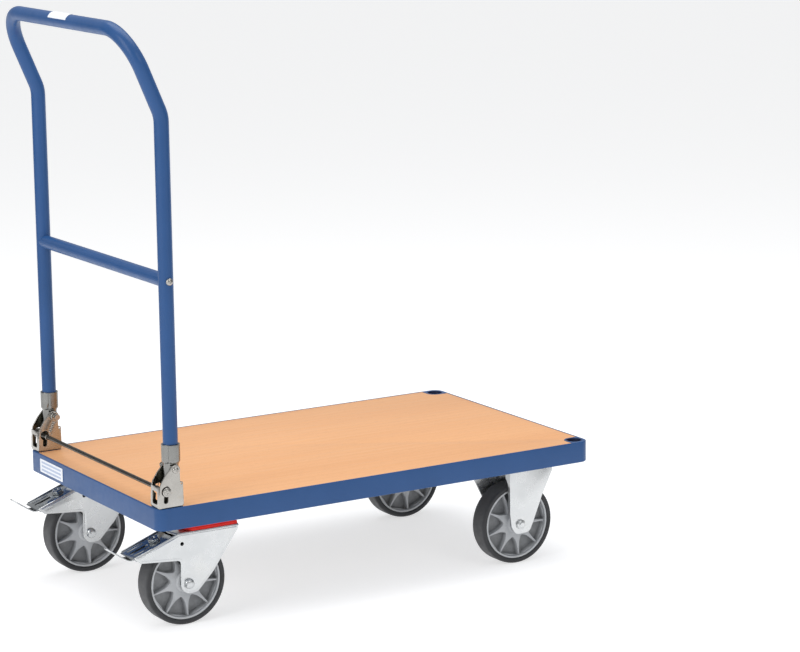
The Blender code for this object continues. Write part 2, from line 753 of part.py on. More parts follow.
for side_name, s in SIDES:
    owner = "caster_" + side_name
    y = s * CASTER_Y
    px, py, pz = CASTER_PLATE
    top = FRAME_BOTTOM - 0.3
    x = KINGPIN_X
    # mounting plate with the upper half of the ball race pressed into it
    plate = prism(
        fillet([(x - px / 2, y - py / 2, 8), (x + px / 2, y - py / 2, 8), (x + px / 2, y + py / 2, 8), (x - px / 2, y + py / 2, 8)], 3),
        top - pz, top, "Z",
    )
    race = lathe([(9.5, 184.2), (23.0, 184.2), (24.5, 186.0), (24.5, 192.6), (9.5, 192.6)], (x, y, 0), (0, 0, 1), 16)
    bore = prism(circle((x, y), 8.7, 12), 150, 210, "Z")
    node("swivel_plate_" + side_name, cut(join(plate, race), bore), ZINC, "platform", (x, y, top))
    pin = [(0, 163.4), (12.0, 163.4), (13.0, 164.4), (13.0, 171.9), (8.0, 171.9), (8.0, 194.9), (0, 194.9)]
    node("kingpin_" + side_name, lathe(pin, (x, y, 0), (0, 0, 1), 12), ZINC, "platform", (x, y, top))

    # fork: head with the lower half of the race, two cheeks with long arms for the brake
    half = FORK_OUTER
    sag = math.sqrt(68.6**2 - half**2)
    plan = []
    for end in (1, -1):
        a0 = math.atan2(half, sag)
        for k in range(5):
            t = -a0 + 2 * a0 * k / 4
            plan.append((x + end * 68.6 * math.cos(t), y + end * 68.6 * math.sin(t)))
    head = prism(plan, 172.3, 175.8, "Z")
    race = lathe([(12.0, 174.5), (24.5, 174.5), (24.5, 182.3), (23.0, 183.8), (12.0, 183.8)], (x, y, 0), (0, 0, 1), 16)
    outline = fillet(SWIVEL_CHEEK, 2)
    cheeks = [
        prism(outline, y - half, y - half + FORK_SHEET, "Y"),
        prism(outline, y + half - FORK_SHEET, y + half, "Y"),
    ]
    trims = [
        prism(circle((SWIVEL_AXLE_X, WHEEL_RADIUS), 6.4, 12), y - 50, y + 50, "Y"),
        prism(circle(PEDAL_PIVOT, 3.6, 10), y - 50, y + 50, "Y"),
        prism(circle((x, y), 8.7, 12), 150, 210, "Z"),
    ]
    node("swivel_fork_" + side_name, cut(join(head, race, *cheeks), *trims), ZINC, owner, (x, y, 176))
    # red dust seal between head and plate, as long as the head, open round the race
    seal_half = half - 0.9
    a0 = math.asin(seal_half / 65.8)
    plan = []
    for end in (1, -1):
        for k in range(7):
            t = -a0 + 2 * a0 * k / 6
            plan.append((x + end * 65.8 * math.cos(t), y + end * 65.8 * math.sin(t)))
    seal = cut(prism(plan, 176.2, 189.2, "Z"), prism(circle((x, y), 25.6, 16), 150, 210, "Z"))
    node("swivel_seal_" + side_name, seal, RED, owner, (x, y, 177))
    axle(owner, "swivel_" + side_name, SWIVEL_AXLE_X, y)
    wheel("swivel_wheel_" + side_name, SWIVEL_AXLE_X, y)

    # brake pedal: slotted plate with side ears that reach the pivot
    brake = "brake_" + side_name
    a, b = Vector((-31.0, 140.5)), Vector((50.0, 169.4))
    d = (b - a).normalized()
    n = Vector((-d.y, d.x))
    low = [a, b, b - n * 2.5, a - n * 2.5]
    plate = prism([(p.x, p.y) for p in low], y - 25.6, y + 25.6, "Y")
    ear = fillet([(-26.0, 136.5, 2), (-26.0, 141.0), (48.0, 167.4, 2), (70.0, 165.0, 6), (74.5, 153.0, 8), (63.0, 146.5, 8), (-14.0, 132.5, 3)], 3)
    ears = [prism(ear, y - 25.6, y - 23.2, "Y"), prism(ear, y + 23.2, y + 25.6, "Y")]
    holes = [prism(circle(PEDAL_PIVOT, 3.6, 10), y - 50, y + 50, "Y")]
    slot = prism(stadium((-20.0, y), (8.0, y), 4.0, 5), 120, 190, "Z")
    spot = a + d * 60.0
    shaft = lathe([(0, -20), (3.6, -20), (3.6, 20), (0, 20)], (spot.x, y, spot.y), (n.x, 0, n.y), 12)
    pedal = cut(join(plate, *ears), *holes, slot, shaft)
    node("brake_pedal_" + side_name, pedal, ZINC, brake)
    screw = [(0, 7.8), (9.6, 7.8), (11.4, 6.6), (11.4, 0.4), (3.2, 0.4), (3.2, -4.6), (0, -4.6)]
    node(
        "brake_adjusting_screw_" + side_name,
        lathe(screw, (spot.x, y, spot.y), (n.x, 0, n.y), 12),
        ZINC,
        brake,
        (spot.x, y, spot.y),
    )
    # release lever: thin bent tongue that runs out under the pedal
    line = [Vector(p) for p in ((-6.0, 139.5), (-24.0, 134.6), (-34.0, 135.6), (-42.0, 140.6), (-72.3, 161.6))]
    upper, lower = [], []
    for i, p in enumerate(line):
        t = (line[min(i + 1, 4)] - line[max(i - 1, 0)]).normalized()
        m_ = Vector((-t.y, t.x))
        upper.append(p + m_)
        lower.append(p - m_)
    ends = upper + lower[::-1]
    shift = PEDAL_TIP_X - min(p.x for p in ends)
    tongue = prism([(p.x + shift, p.y) for p in ends], y - 14.0, y + 14.0, "Y")
    tip = PEDAL_TIP_X
    corners = [
        prism([(tip - 1, y + e * 5.0), (tip + 0.01, y + e * 5.0), (tip + 4, y + e * 10.5), (tip + 13, y + e * 14.01), (tip + 13, y + e * 15), (tip - 1, y + e * 15)], 120, 190, "Z")
        for e in (-1, 1)
    ]
    tongue = cut(tongue, *corners)
    node("brake_release_lever_" + side_name, tongue, ZINC, brake)
    # brake shoe: curved pad that follows the tyre
    pad = []
    for radius, order in ((87.0, 1), (90.2, -1)):
        ring = [
            (SWIVEL_AXLE_X + radius * math.cos(math.radians(t)), WHEEL_RADIUS + radius * math.sin(math.radians(t)))
            for t in (108, 113, 118, 123, 128)
        ]
        pad += ring[::order]
    node("brake_shoe_" + side_name, prism(pad, y - 16.0, y + 16.0, "Y"), NICKEL, brake)
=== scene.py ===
"""Looks for the folding platform cart: detailed meshes, procedural finishes, floor, lights and camera.

Lengths are millimetres in the cart's own layout until put() turns them into the frame's metres: x runs
from the handle end along the deck, y across it (the right-hand side is -y), z up from the floor.
"""

import math

import bmesh
import bpy
from mathutils import Matrix, Vector


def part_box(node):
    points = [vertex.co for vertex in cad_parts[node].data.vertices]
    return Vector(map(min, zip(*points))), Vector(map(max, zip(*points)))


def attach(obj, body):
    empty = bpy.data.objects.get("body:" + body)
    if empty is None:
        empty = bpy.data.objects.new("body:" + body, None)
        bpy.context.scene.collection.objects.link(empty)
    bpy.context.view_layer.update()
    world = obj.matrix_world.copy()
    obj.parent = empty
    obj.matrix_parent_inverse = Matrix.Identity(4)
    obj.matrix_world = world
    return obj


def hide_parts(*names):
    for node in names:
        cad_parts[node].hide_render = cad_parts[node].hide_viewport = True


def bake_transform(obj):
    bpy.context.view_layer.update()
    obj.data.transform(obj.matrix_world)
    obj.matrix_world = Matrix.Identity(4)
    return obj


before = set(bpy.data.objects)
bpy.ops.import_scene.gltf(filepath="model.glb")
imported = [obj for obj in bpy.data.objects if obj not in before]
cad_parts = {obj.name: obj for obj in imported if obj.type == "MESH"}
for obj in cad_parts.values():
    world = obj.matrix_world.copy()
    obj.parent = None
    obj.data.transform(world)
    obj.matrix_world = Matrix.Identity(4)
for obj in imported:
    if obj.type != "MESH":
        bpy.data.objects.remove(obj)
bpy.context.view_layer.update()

# ---------------------------------------------------------------- sizes, as in the CAD
ORIGIN_X = -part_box("platform_frame")[0].x * 1000.0
DECK_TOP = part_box("platform_frame")[1].z * 1000.0
FRAME_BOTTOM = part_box("platform_frame")[0].z * 1000.0
PLATFORM_LENGTH, PLATFORM_WIDTH = 932.0, 552.0
FRAME_CORNER, FRAME_WALL, LEDGE_DEPTH, BOARD_GAP = 20.0, 3.0, 15.3, 0.4
WHEEL_RADIUS, RIM_RADIUS = 80.0, 69.8
CASTER_Y, KINGPIN_X, SWIVEL_AXLE_X, FIXED_AXLE_X = 205.0, 120.0, 77.7, 797.0
FORK_OUTER, FORK_SHEET = 29.7, 3.0
CASTER_PLATE = (137.0, 105.0, 3.5)
HANDLE_X, HANDLE_Y, TUBE_RADIUS, TUBE_WALL = 37.4, 256.5, 13.45, 2.0
PIVOT_Z, ELBOW_Z = DECK_TOP + 68.0, DECK_TOP + 696.0
TOPBAR_X, TOPBAR_Z = -26.0, DECK_TOP + 846.5
CORNER_BEND, ELBOW_BEND = 75.0, 60.0
CROSSBAR_Z, CROSSBAR_RADIUS = DECK_TOP + 406.0, 12.5
STUB_RADIUS, STUB_LENGTH = 13.5, 34.5
CHEEK_GAP, CHEEK_SHEET = 29.0, 3.0
ROD_REST, ROD_SLOPE = (-18.64, -37.5), 0.107
SLOT_TOP, SLOT_BOTTOM, SLOT_HALF = -31.2, -54.3, 4.4
PEDAL_PIVOT, PEDAL_TIP_X = (66.0, 155.5), -73.0
UNIT = 0.001
SIDES = (("right", -1.0), ("left", 1.0))


# ---------------------------------------------------------------- finishes
class Finish:
    """A Principled material built from the piece's own coordinates, in metres."""

    def __init__(self, name, metallic=0.0, roughness=0.5):
        self.m = bpy.data.materials.new(name)
        self.m.use_nodes = True
        self.t = self.m.node_tree
        self.b = self.t.nodes["Principled BSDF"]
        self.b.inputs["Metallic"].default_value = metallic
        self.b.inputs["Roughness"].default_value = roughness
        self.c = self.t.nodes.new("ShaderNodeTexCoord").outputs["Object"]
        self.last_normal = None

    def link(self, a, b):
        self.t.links.new(a, b)

    def mapped(self, stretch=(1, 1, 1), turn=(0, 0, 0), shift=(0, 0, 0)):
        n = self.t.nodes.new("ShaderNodeMapping")
        n.inputs["Scale"].default_value = stretch
        n.inputs["Rotation"].default_value = turn
        n.inputs["Location"].default_value = shift
        self.link(self.c, n.inputs["Vector"])
        return n.outputs["Vector"]

    def noise(self, scale, detail=2.0, rough=0.5, stretch=None, distortion=0.0, shift=(0, 0, 0)):
        n = self.t.nodes.new("ShaderNodeTexNoise")
        n.inputs["Scale"].default_value = scale
        n.inputs["Detail"].default_value = detail
        n.inputs["Roughness"].default_value = rough
        n.inputs["Distortion"].default_value = distortion
        self.link(self.mapped(stretch or (1, 1, 1), shift=shift), n.inputs["Vector"])
        return n.outputs["Fac"]

    def wave(self, scale, distortion, detail, detail_scale, stretch, direction="Y", profile="SIN"):
        n = self.t.nodes.new("ShaderNodeTexWave")
        n.wave_type = "BANDS"
        n.bands_direction = direction
        n.wave_profile = profile
        n.inputs["Scale"].default_value = scale
        n.inputs["Distortion"].default_value = distortion
        n.inputs["Detail"].default_value = detail
        n.inputs["Detail Scale"].default_value = detail_scale
        self.link(self.mapped(stretch), n.inputs["Vector"])
        return n.outputs["Fac"]

    def cells(self, scale, stretch=(1, 1, 1), randomness=1.0):
        n = self.t.nodes.new("ShaderNodeTexVoronoi")
        n.inputs["Scale"].default_value = scale
        n.inputs["Randomness"].default_value = randomness
        self.link(self.mapped(stretch), n.inputs["Vector"])
        return n.outputs["Color"]

    def remap(self, value, low, high, to_low=0.0, to_high=1.0):
        n = self.t.nodes.new("ShaderNodeMapRange")
        n.clamp = True
        for key, v in (("From Min", low), ("From Max", high), ("To Min", to_low), ("To Max", to_high)):
            n.inputs[key].default_value = v
        self.link(value, n.inputs["Value"])
        return n.outputs["Result"]

    def math(self, operation, a, b):
        n = self.t.nodes.new("ShaderNodeMath")
        n.operation = operation
        for i, v in enumerate((a, b)):
            if isinstance(v, (int, float)):
                n.inputs[i].default_value = v
            else:
                self.link(v, n.inputs[i])
        return n.outputs[0]

    def blend(self, factor, a, b):
        n = self.t.nodes.new("ShaderNodeMix")
        n.data_type = "RGBA"
        self.link(factor, n.inputs["Factor"])
        for key, v in ((6, a), (7, b)):
            if isinstance(v, tuple):
                n.inputs[key].default_value = (*v, 1.0)
            else:
                self.link(v, n.inputs[key])
        return n.outputs[2]

    def axis(self, which):
        n = self.t.nodes.new("ShaderNodeSeparateXYZ")
        self.link(self.c, n.inputs[0])
        return n.outputs[which]

    def colour(self, socket):
        self.link(socket, self.b.inputs["Base Color"])

    def rough(self, socket):
        self.link(socket, self.b.inputs["Roughness"])

    def bump(self, height, strength, distance):
        n = self.t.nodes.new("ShaderNodeBump")
        n.inputs["Strength"].default_value = strength
        n.inputs["Distance"].default_value = distance
        self.link(height, n.inputs["Height"])
        if self.last_normal:
            self.link(self.last_normal, n.inputs["Normal"])
        self.last_normal = n.outputs["Normal"]
        self.link(self.last_normal, self.b.inputs["Normal"])

    def set(self, **values):
        for key, v in values.items():
            self.b.inputs[key.replace("_", " ")].default_value = v
        return self


def powder_coat():
    f = Finish("blue_powder_coat_finish", 0.0, 0.36)
    cloud = f.remap(f.noise(11.0, 3.0), 0.30, 0.70)
    body = f.blend(cloud, (0.019, 0.075, 0.218), (0.024, 0.086, 0.246))
    fleck = f.remap(f.noise(1300.0, 1.0), 0.66, 0.74)
    scuff = f.remap(f.noise(34.0, 5.0, 0.65, (1.0, 1.0, 0.35)), 0.66, 0.78, 0.0, 0.35)
    body = f.blend(f.math("MULTIPLY", fleck, 0.30), body, (0.060, 0.140, 0.300))
    f.colour(f.blend(scuff, body, (0.050, 0.115, 0.240)))
    f.rough(f.math("ADD", f.remap(f.noise(70.0, 3.0), 0.3, 0.7, 0.30, 0.40), f.math("MULTIPLY", scuff, 0.25)))
    f.bump(f.noise(620.0, 2.0, 0.55), 0.16, 0.00022)
    f.bump(f.noise(95.0, 1.0), 0.06, 0.0006)
    return f.set(Specular_IOR_Level=0.38, IOR=1.45).m


def beech():
    f = Finish("beech_board_finish", 0.0, 0.42)
    broad = f.remap(f.noise(1.0, 3.0, 0.5, (0.9, 7.5, 7.5), 0.6), 0.30, 0.72)
    flame = f.wave(1.0, 5.5, 3.0, 0.9, (0.55, 15.0, 15.0))
    fine = f.remap(f.noise(1.0, 4.0, 0.6, (3.2, 210.0, 210.0), 0.2), 0.32, 0.70)
    pores = f.remap(f.noise(1.0, 2.0, 0.5, (95.0, 1150.0, 1150.0)), 0.60, 0.70)
    rays = f.remap(f.noise(1.0, 1.0, 0.5, (210.0, 620.0, 620.0), shift=(3.1, 1.7, 0.4)), 0.64, 0.72)
    tone = f.blend(broad, (0.905, 0.476, 0.220), (0.850, 0.424, 0.184))
    tone = f.blend(f.math("MULTIPLY", f.remap(flame, 0.45, 0.95), 0.16), tone, (0.780, 0.370, 0.155))
    tone = f.blend(f.math("MULTIPLY", fine, 0.15), tone, (0.700, 0.330, 0.150))
    tone = f.blend(f.math("MULTIPLY", pores, 0.34), tone, (0.480, 0.205, 0.085))
    tone = f.blend(f.math("MULTIPLY", rays, 0.24), tone, (0.920, 0.540, 0.300))
    # the underside is the panel's plain grey-brown backing
    backing = f.blend(f.remap(f.noise(260.0, 4.0, 0.7), 0.3, 0.7), (0.215, 0.190, 0.160), (0.300, 0.270, 0.230))
    f.colour(f.blend(f.math("LESS_THAN", f.axis(2), 0.2225), tone, backing))
    f.rough(f.remap(f.noise(1.0, 3.0, 0.6, (6.0, 180.0, 180.0)), 0.3, 0.7, 0.36, 0.50))
    f.bump(fine, 0.10, 0.00012)
    f.bump(pores, -0.20, 0.00010)
    return f.set(Coat_Weight=0.12, Coat_Roughness=0.30).m


def zinc(name="bright_zinc_finish", dark=False):
    f = Finish(name, 0.92, 0.27)
    cloud = f.remap(f.noise(7.0, 4.0, 0.55), 0.28, 0.72)
    tone = f.blend(cloud, (0.590, 0.606, 0.614), (0.690, 0.702, 0.706))
    warm = f.remap(f.noise(16.0, 2.0, 0.5, shift=(4.0, 2.0, 1.0)), 0.55, 0.78, 0.0, 0.30)
    tone = f.blend(warm, tone, (0.665, 0.662, 0.630))
    spots = f.remap(f.noise(520.0, 2.0, 0.6), 0.62, 0.75, 0.0, 0.35)
    f.colour(f.blend(spots, tone, (0.480, 0.495, 0.505)))
    draw = f.noise(1.0, 3.0, 0.6, (160.0, 160.0, 1400.0))
    f.rough(f.math("ADD", f.remap(f.noise(48.0, 3.0), 0.3, 0.7, 0.22, 0.31), f.math("MULTIPLY", draw, 0.04)))
    f.bump(draw, 0.04, 0.00008)
    f.bump(f.noise(260.0, 2.0), 0.06, 0.00016)
    return f.m


def polished_zinc():
    f = Finish("polished_zinc_finish", 1.0, 0.14)
    tone = f.blend(f.remap(f.noise(22.0, 3.0), 0.3, 0.7), (0.380, 0.400, 0.415), (0.500, 0.520, 0.535))
    f.colour(f.blend(f.remap(f.noise(420.0, 2.0), 0.60, 0.75, 0.0, 0.3), tone, (0.400, 0.420, 0.460)))
    f.rough(f.remap(f.noise(90.0, 3.0), 0.3, 0.7, 0.10, 0.20))
    f.bump(f.noise(240.0, 2.0), 0.05, 0.00014)
    return f.m


def satin_steel(name="bracket_steel_finish", low=(0.400, 0.386, 0.358), high=(0.490, 0.477, 0.450), shine=(0.20, 0.32), inside=False):
    f = Finish(name, 1.0, shine[1])
    cloud = f.remap(f.noise(22.0, 3.0, 0.55), 0.28, 0.72)
    tone = f.blend(cloud, low, high)
    grit = f.remap(f.noise(620.0, 2.0, 0.6), 0.52, 0.72, 0.0, 0.30)
    tone = f.blend(grit, tone, tuple(0.72 * v for v in low))
    stain = f.remap(f.noise(60.0, 3.0, 0.6, shift=(2.0, 5.0, 1.0)), 0.60, 0.80, 0.0, 0.30)
    tone = f.blend(stain, tone, (0.95 * low[0], 0.86 * low[1], 0.72 * low[2]))
    if inside:
        # painted shade: the faces between the bracket's cheeks, apart from the web's outer face, are darkened where
        # little light reaches
        depth = f.math("ABSOLUTE", f.math("SUBTRACT", f.math("ABSOLUTE", f.axis(1), 0.0), HANDLE_Y * UNIT), 0.0)
        within = f.math("LESS_THAN", depth, (CHEEK_GAP / 2 + 0.03) * UNIT)
        behind = f.math("GREATER_THAN", f.axis(0), (HANDLE_X - 33.3 - ORIGIN_X) * UNIT)
        tone = f.blend(f.math("MULTIPLY", within, behind), tone, (0.105, 0.102, 0.080))
    f.colour(tone)
    f.rough(f.remap(f.noise(110.0, 3.0, 0.55), 0.28, 0.72, *shine))
    f.bump(f.noise(420.0, 2.0, 0.5), 0.035, 0.00012)
    return f.m


def rubber():
    f = Finish("grey_rubber_finish", 0.0, 0.60)
    cloud = f.remap(f.noise(30.0, 4.0, 0.6), 0.30, 0.70)
    tone = f.blend(cloud, (0.030, 0.031, 0.034), (0.044, 0.045, 0.049))
    dust = f.remap(f.noise(160.0, 5.0, 0.7), 0.58, 0.76, 0.0, 0.20)
    tone = f.blend(dust, tone, (0.110, 0.109, 0.106))
    # the tread is worn paler than the side walls
    depth = f.math("ABSOLUTE", f.math("SUBTRACT", f.math("ABSOLUTE", f.axis(1), 0.0), CASTER_Y * UNIT), 0.0)
    f.colour(f.blend(f.remap(depth, 0.0150, 0.0178, 0.75, 0.0), f.blend(f.remap(depth, 0.0175, 0.0190, 0.0, 0.5), tone, (0.016, 0.017, 0.019)), (0.066, 0.067, 0.071)))
    f.rough(f.remap(f.noise(90.0, 3.0), 0.3, 0.7, 0.50, 0.66))
    f.bump(f.noise(1100.0, 3.0, 0.6), 0.16, 0.00018)
    return f.m


def nylon():
    f = Finish("grey_nylon_finish", 0.0, 0.44)
    cloud = f.remap(f.noise(40.0, 3.0, 0.55), 0.30, 0.70)
    tone = f.blend(cloud, (0.360, 0.374, 0.390), (0.430, 0.442, 0.458))
    speck = f.remap(f.noise(900.0, 1.0), 0.64, 0.72, 0.0, 0.30)
    tone = f.blend(speck, tone, (0.500, 0.510, 0.520))
    # painted shade darkens the pockets, broken up with noise, and a painted highlight brightens the raised ring and rib
    # tops
    depth = f.math("ABSOLUTE", f.math("SUBTRACT", f.math("ABSOLUTE", f.axis(1), 0.0), CASTER_Y * UNIT), 0.0)
    painted_pocket_shade = f.math("MULTIPLY", f.remap(depth, 0.0035, 0.0135, 1.0, 0.0), f.remap(f.noise(75.0, 4.0, 0.6), 0.30, 0.62, 0.72, 1.0))
    tone = f.blend(painted_pocket_shade, tone, (0.190, 0.196, 0.204))
    # painted highlight on the raised ring and rib tops
    f.colour(f.blend(f.remap(depth, 0.0140, 0.0172, 0.0, 0.75), tone, (0.520, 0.535, 0.550)))
    f.rough(f.remap(f.noise(120.0, 3.0), 0.3, 0.7, 0.36, 0.50))
    f.bump(f.noise(700.0, 2.0), 0.10, 0.00014)
    return f.m


def moulded(name, low, high, rough_low, rough_high, specular):
    f = Finish(name, 0.0, rough_low)
    f.set(Specular_IOR_Level=specular)
    f.colour(f.blend(f.remap(f.noise(60.0, 3.0), 0.3, 0.7), low, high))
    f.rough(f.remap(f.noise(150.0, 3.0), 0.3, 0.7, rough_low, rough_high))
    f.bump(f.noise(900.0, 2.0), 0.10, 0.00012)
    return f.m


def film(name, bars):
    """White plastic film. With bars, pale printed rows, with no lettering."""
    f = Finish(name, 0.0, 0.42)
    paper = f.blend(f.remap(f.noise(120.0, 3.0), 0.3, 0.7), (0.780, 0.810, 0.870), (0.850, 0.870, 0.910))
    if bars:
        y, z = f.axis(1), f.axis(2)
        rows = f.math("FRACT", f.math("MULTIPLY", f.math("SUBTRACT", z, 0.2045), 1 / 0.0074), 0.0)
        row = f.math("MULTIPLY", f.math("GREATER_THAN", rows, 0.22), f.math("LESS_THAN", rows, 0.76))
        inside = f.math("MULTIPLY", f.math("GREATER_THAN", y, 0.131), f.math("LESS_THAN", y, 0.218))
        inside = f.math("MULTIPLY", inside, f.math("LESS_THAN", z, 0.2265))
        ink = f.math("MULTIPLY", f.math("MULTIPLY", row, inside), 0.78)
        paper = f.blend(ink, paper, (0.330, 0.420, 0.620))
    f.colour(paper)
    f.rough(f.remap(f.noise(200.0, 2.0), 0.3, 0.7, 0.34, 0.48))
    f.bump(f.noise(500.0, 2.0), 0.05, 0.00008)
    return f.m


BLUE = powder_coat()
WOOD = beech()
ZINC = zinc()
POLISHED = polished_zinc()
STEEL = satin_steel()
# inside=True paints shade on the faces between the bracket's cheeks
BRACKET = satin_steel("hinge_bracket_finish", inside=True)
SLEEVE = satin_steel("handle_sleeve_steel_finish", (0.215, 0.215, 0.205), (0.285, 0.285, 0.275), (0.22, 0.34))
ROD = satin_steel("lock_bar_steel_finish", (0.085, 0.078, 0.068), (0.140, 0.130, 0.115), (0.24, 0.36))
RUBBER = rubber()
NYLON = nylon()
RED = moulded("red_seal_finish", (0.640, 0.016, 0.012), (0.740, 0.026, 0.018), 0.50, 0.62, 0.22)
NAVY = moulded("navy_socket_finish", (0.003, 0.008, 0.036), (0.006, 0.013, 0.055), 0.46, 0.60, 0.22)
LABEL = film("white_label_finish", True)
STICKER = film("white_sticker_finish", False)


# ---------------------------------------------------------------- shape helpers
def put(p):
    return Vector(((p[0] - ORIGIN_X) * UNIT, p[1] * UNIT, p[2] * UNIT))


def solid(bm, place=True):
    bmesh.ops.remove_doubles(bm, verts=bm.verts, dist=0.0005)
    for v in bm.verts:
        v.co = put(v.co) if place else v.co * UNIT
    bmesh.ops.recalc_face_normals(bm, faces=bm.faces)
    me = bpy.data.meshes.new("shape")
    bm.to_mesh(me)
    bm.free()
    ob = bpy.data.objects.new("shape", me)
    bpy.context.scene.collection.objects.link(ob)
    return ob


def applied(ob):
    graph = bpy.context.evaluated_depsgraph_get()
    graph.update()
    me = bpy.data.meshes.new_from_object(ob.evaluated_get(graph))
    ob.modifiers.clear()
    return me


def combine(ob, tools, operation):
    for tool in tools:
        mod = ob.modifiers.new("bool", "BOOLEAN")
        mod.solver = "EXACT"
        mod.operation = operation
        mod.object = tool
        old = ob.data
        ob.data = applied(ob)
        bpy.data.meshes.remove(old)
        bpy.data.objects.remove(tool, do_unlink=True)
    bm = bmesh.new()
    bm.from_mesh(ob.data)
    bmesh.ops.remove_doubles(bm, verts=bm.verts, dist=2e-6)
    bm.to_mesh(ob.data)
    bm.free()
    return ob


def join(ob, *tools):
    return combine(ob, tools, "UNION")


def cut(ob, *tools):
    return combine(ob, tools, "DIFFERENCE")


def merge(shapes):
    """Puts shapes that don't touch into one object, so that one Boolean takes them all."""
    bm = bmesh.new()
    for s in shapes:
        bm.from_mesh(s.data)
    me = bpy.data.meshes.new("shape")
    bm.to_mesh(me)
    bm.free()
    for s in shapes[1:]:
        bpy.data.objects.remove(s, do_unlink=True)
    shapes[0].data = me
    return shapes[0]


def is_closed(me):
    bm = bmesh.new()
    bm.from_mesh(me)
    good = bool(bm.edges) and all(len(e.link_faces) == 2 for e in bm.edges)
    bm.free()
    return good


def soften(ob, width, segments=2, angle=38.0):
    """Rounds the sharp edges by width. The plain shape stays if rounding would open it."""
    mod = ob.modifiers.new("bevel", "BEVEL")
    mod.width = width * UNIT
    mod.segments = segments
    mod.limit_method = "ANGLE"
    mod.angle_limit = math.radians(angle)
    mod.use_clamp_overlap = False
    me = applied(ob)
    if is_closed(me):
        old = ob.data
        ob.data = me
        bpy.data.meshes.remove(old)
    else:
        bpy.data.meshes.remove(me)
        print("kept plain:", ob.name)
    return ob


def round_edges(ob, test, width, segments=5):
    """Rounds the edges whose two ends, in cart millimetres, both pass the test."""
    bm = bmesh.new()
    bm.from_mesh(ob.data)
    picked = []
    for e in bm.edges:
        ends = [(v.co.x / UNIT + ORIGIN_X, v.co.y / UNIT, v.co.z / UNIT) for v in e.verts]
        if all(test(*p) for p in ends) and e.calc_face_angle(0.0) > math.radians(30):
            picked.append(e)
    if picked:
        bmesh.ops.bevel(bm, geom=picked, offset=width * UNIT, segments=segments, affect="EDGES", profile=0.5)
        me = bpy.data.meshes.new("shape")
        bm.to_mesh(me)
        if is_closed(me):
            ob.data = me
    bm.free()
    return ob


def fillet(points, steps=8):
    out = []
    n = len(points)
    for i, p in enumerate(points):
        radius = p[2] if len(p) > 2 else 0.0
        here = Vector(p[:2])
        if radius <= 0.0:
            out.append((here.x, here.y))
            continue
        a = Vector(points[i - 1][:2]) - here
        b = Vector(points[(i + 1) % n][:2]) - here
        a.normalize()
        b.normalize()
        half = math.acos(max(-1.0, min(1.0, a.dot(b)))) / 2.0
        reach = radius / math.tan(half)
        start, end = here + a * reach, here + b * reach
        centre = here + (a + b).normalized() * (radius / math.sin(half))
        v0, v1 = start - centre, end - centre
        turn = math.atan2(v0.x * v1.y - v0.y * v1.x, v0.dot(v1))
        base = math.atan2(v0.y, v0.x)
        for k in range(steps + 1):
            t = base + turn * k / steps
            out.append((centre.x + radius * math.cos(t), centre.y + radius * math.sin(t)))
    return out


def inset(points, d):
    """Corner list moved inwards by d, with its corner radii adjusted, for lofting between outlines."""
    n = len(points)
    area = sum(points[i - 1][0] * points[i][1] - points[i][0] * points[i - 1][1] for i in range(n))
    sign = 1.0 if area > 0 else -1.0
    out = []
    for i, p in enumerate(points):
        here = Vector(p[:2])
        u = (here - Vector(points[i - 1][:2])).normalized()
        v = (Vector(points[(i + 1) % n][:2]) - here).normalized()
        nu, nv = Vector((-u.y, u.x)) * sign, Vector((-v.y, v.x)) * sign
        m = (nu + nv)
        m = m / max(m.dot(nu), 0.25)
        spot = here + m * d
        radius = p[2] if len(p) > 2 else 0.0
        if radius > 0.0:
            convex = (u.x * v.y - u.y * v.x) * sign > 0
            radius = max(radius - d, 0.35) if convex else radius + d
            out.append((spot.x, spot.y, radius))
        else:
            out.append((spot.x, spot.y))
    return out


def axes_of(axis):
    return {
        "Y": lambda p, h: (p[0], h, p[1]),
        "Z": lambda p, h: (p[0], p[1], h),
        "X": lambda p, h: (h, p[0], p[1]),
    }[axis]


def loft(levels, axis):
    """Closed shape through outlines of equal length at successive heights."""
    at = axes_of(axis)
    bm = bmesh.new()
    rings = [[bm.verts.new(at(p, h)) for p in outline] for outline, h in levels]
    bm.faces.new(rings[0])
    bm.faces.new(list(reversed(rings[-1])))
    n = len(rings[0])
    for a, b in zip(rings, rings[1:]):
        for i in range(n):
            bm.faces.new((a[i], b[i], b[(i + 1) % n], a[(i + 1) % n]))
    return solid(bm)


def prism(outline, low, high, axis):
    return loft([(outline, low), (outline, high)], axis)


def sheet_part(points, outer, inner, axis, edge=0.8, steps=8):
    """Pressed sheet: its outer face has softly rounded edges, its inner face a small one."""
    d = 1.0 if inner > outer else -1.0
    full = fillet(points, steps)
    levels = [
        (fillet(inset(points, edge), steps), outer),
        (fillet(inset(points, edge * 0.42), steps), outer + d * edge * 0.16),
        (fillet(inset(points, edge * 0.12), steps), outer + d * edge * 0.42),
        (full, outer + d * edge * 0.85),
        (full, inner - d * 0.35),
        (fillet(inset(points, 0.35), steps), inner),
    ]
    return loft(levels, axis)


def pressed_cheek(points, outer, inner, steps=10):
    """Pressed sheet with a raised middle: a crisp line 4 mm inside its edge, then a slope to the rim."""
    d = 1.0 if inner > outer else -1.0
    levels = [(fillet(inset(points, e), steps), outer + d * h) for e, h in ((5.2, 0.0), (4.1, 0.85), (1.4, 1.0), (0.5, 1.3), (0.0, 2.0))]
    levels += [(fillet(points, steps), inner - d * 0.35), (fillet(inset(points, 0.35), steps), inner)]
    return loft(levels, "Y")


def box(low, high):
    return prism([(low[0], low[1]), (high[0], low[1]), (high[0], high[1]), (low[0], high[1])], low[2], high[2], "Z")


def stadium(p, q, radius, steps=14):
    p, q = Vector(p), Vector(q)
    base = math.atan2(q.y - p.y, q.x - p.x)
    out = []
    for centre, start in ((p, base + math.pi / 2), (q, base - math.pi / 2)):
        for k in range(steps + 1):
            t = start + math.pi * k / steps
            out.append((centre.x + radius * math.cos(t), centre.y + radius * math.sin(t)))
    return out


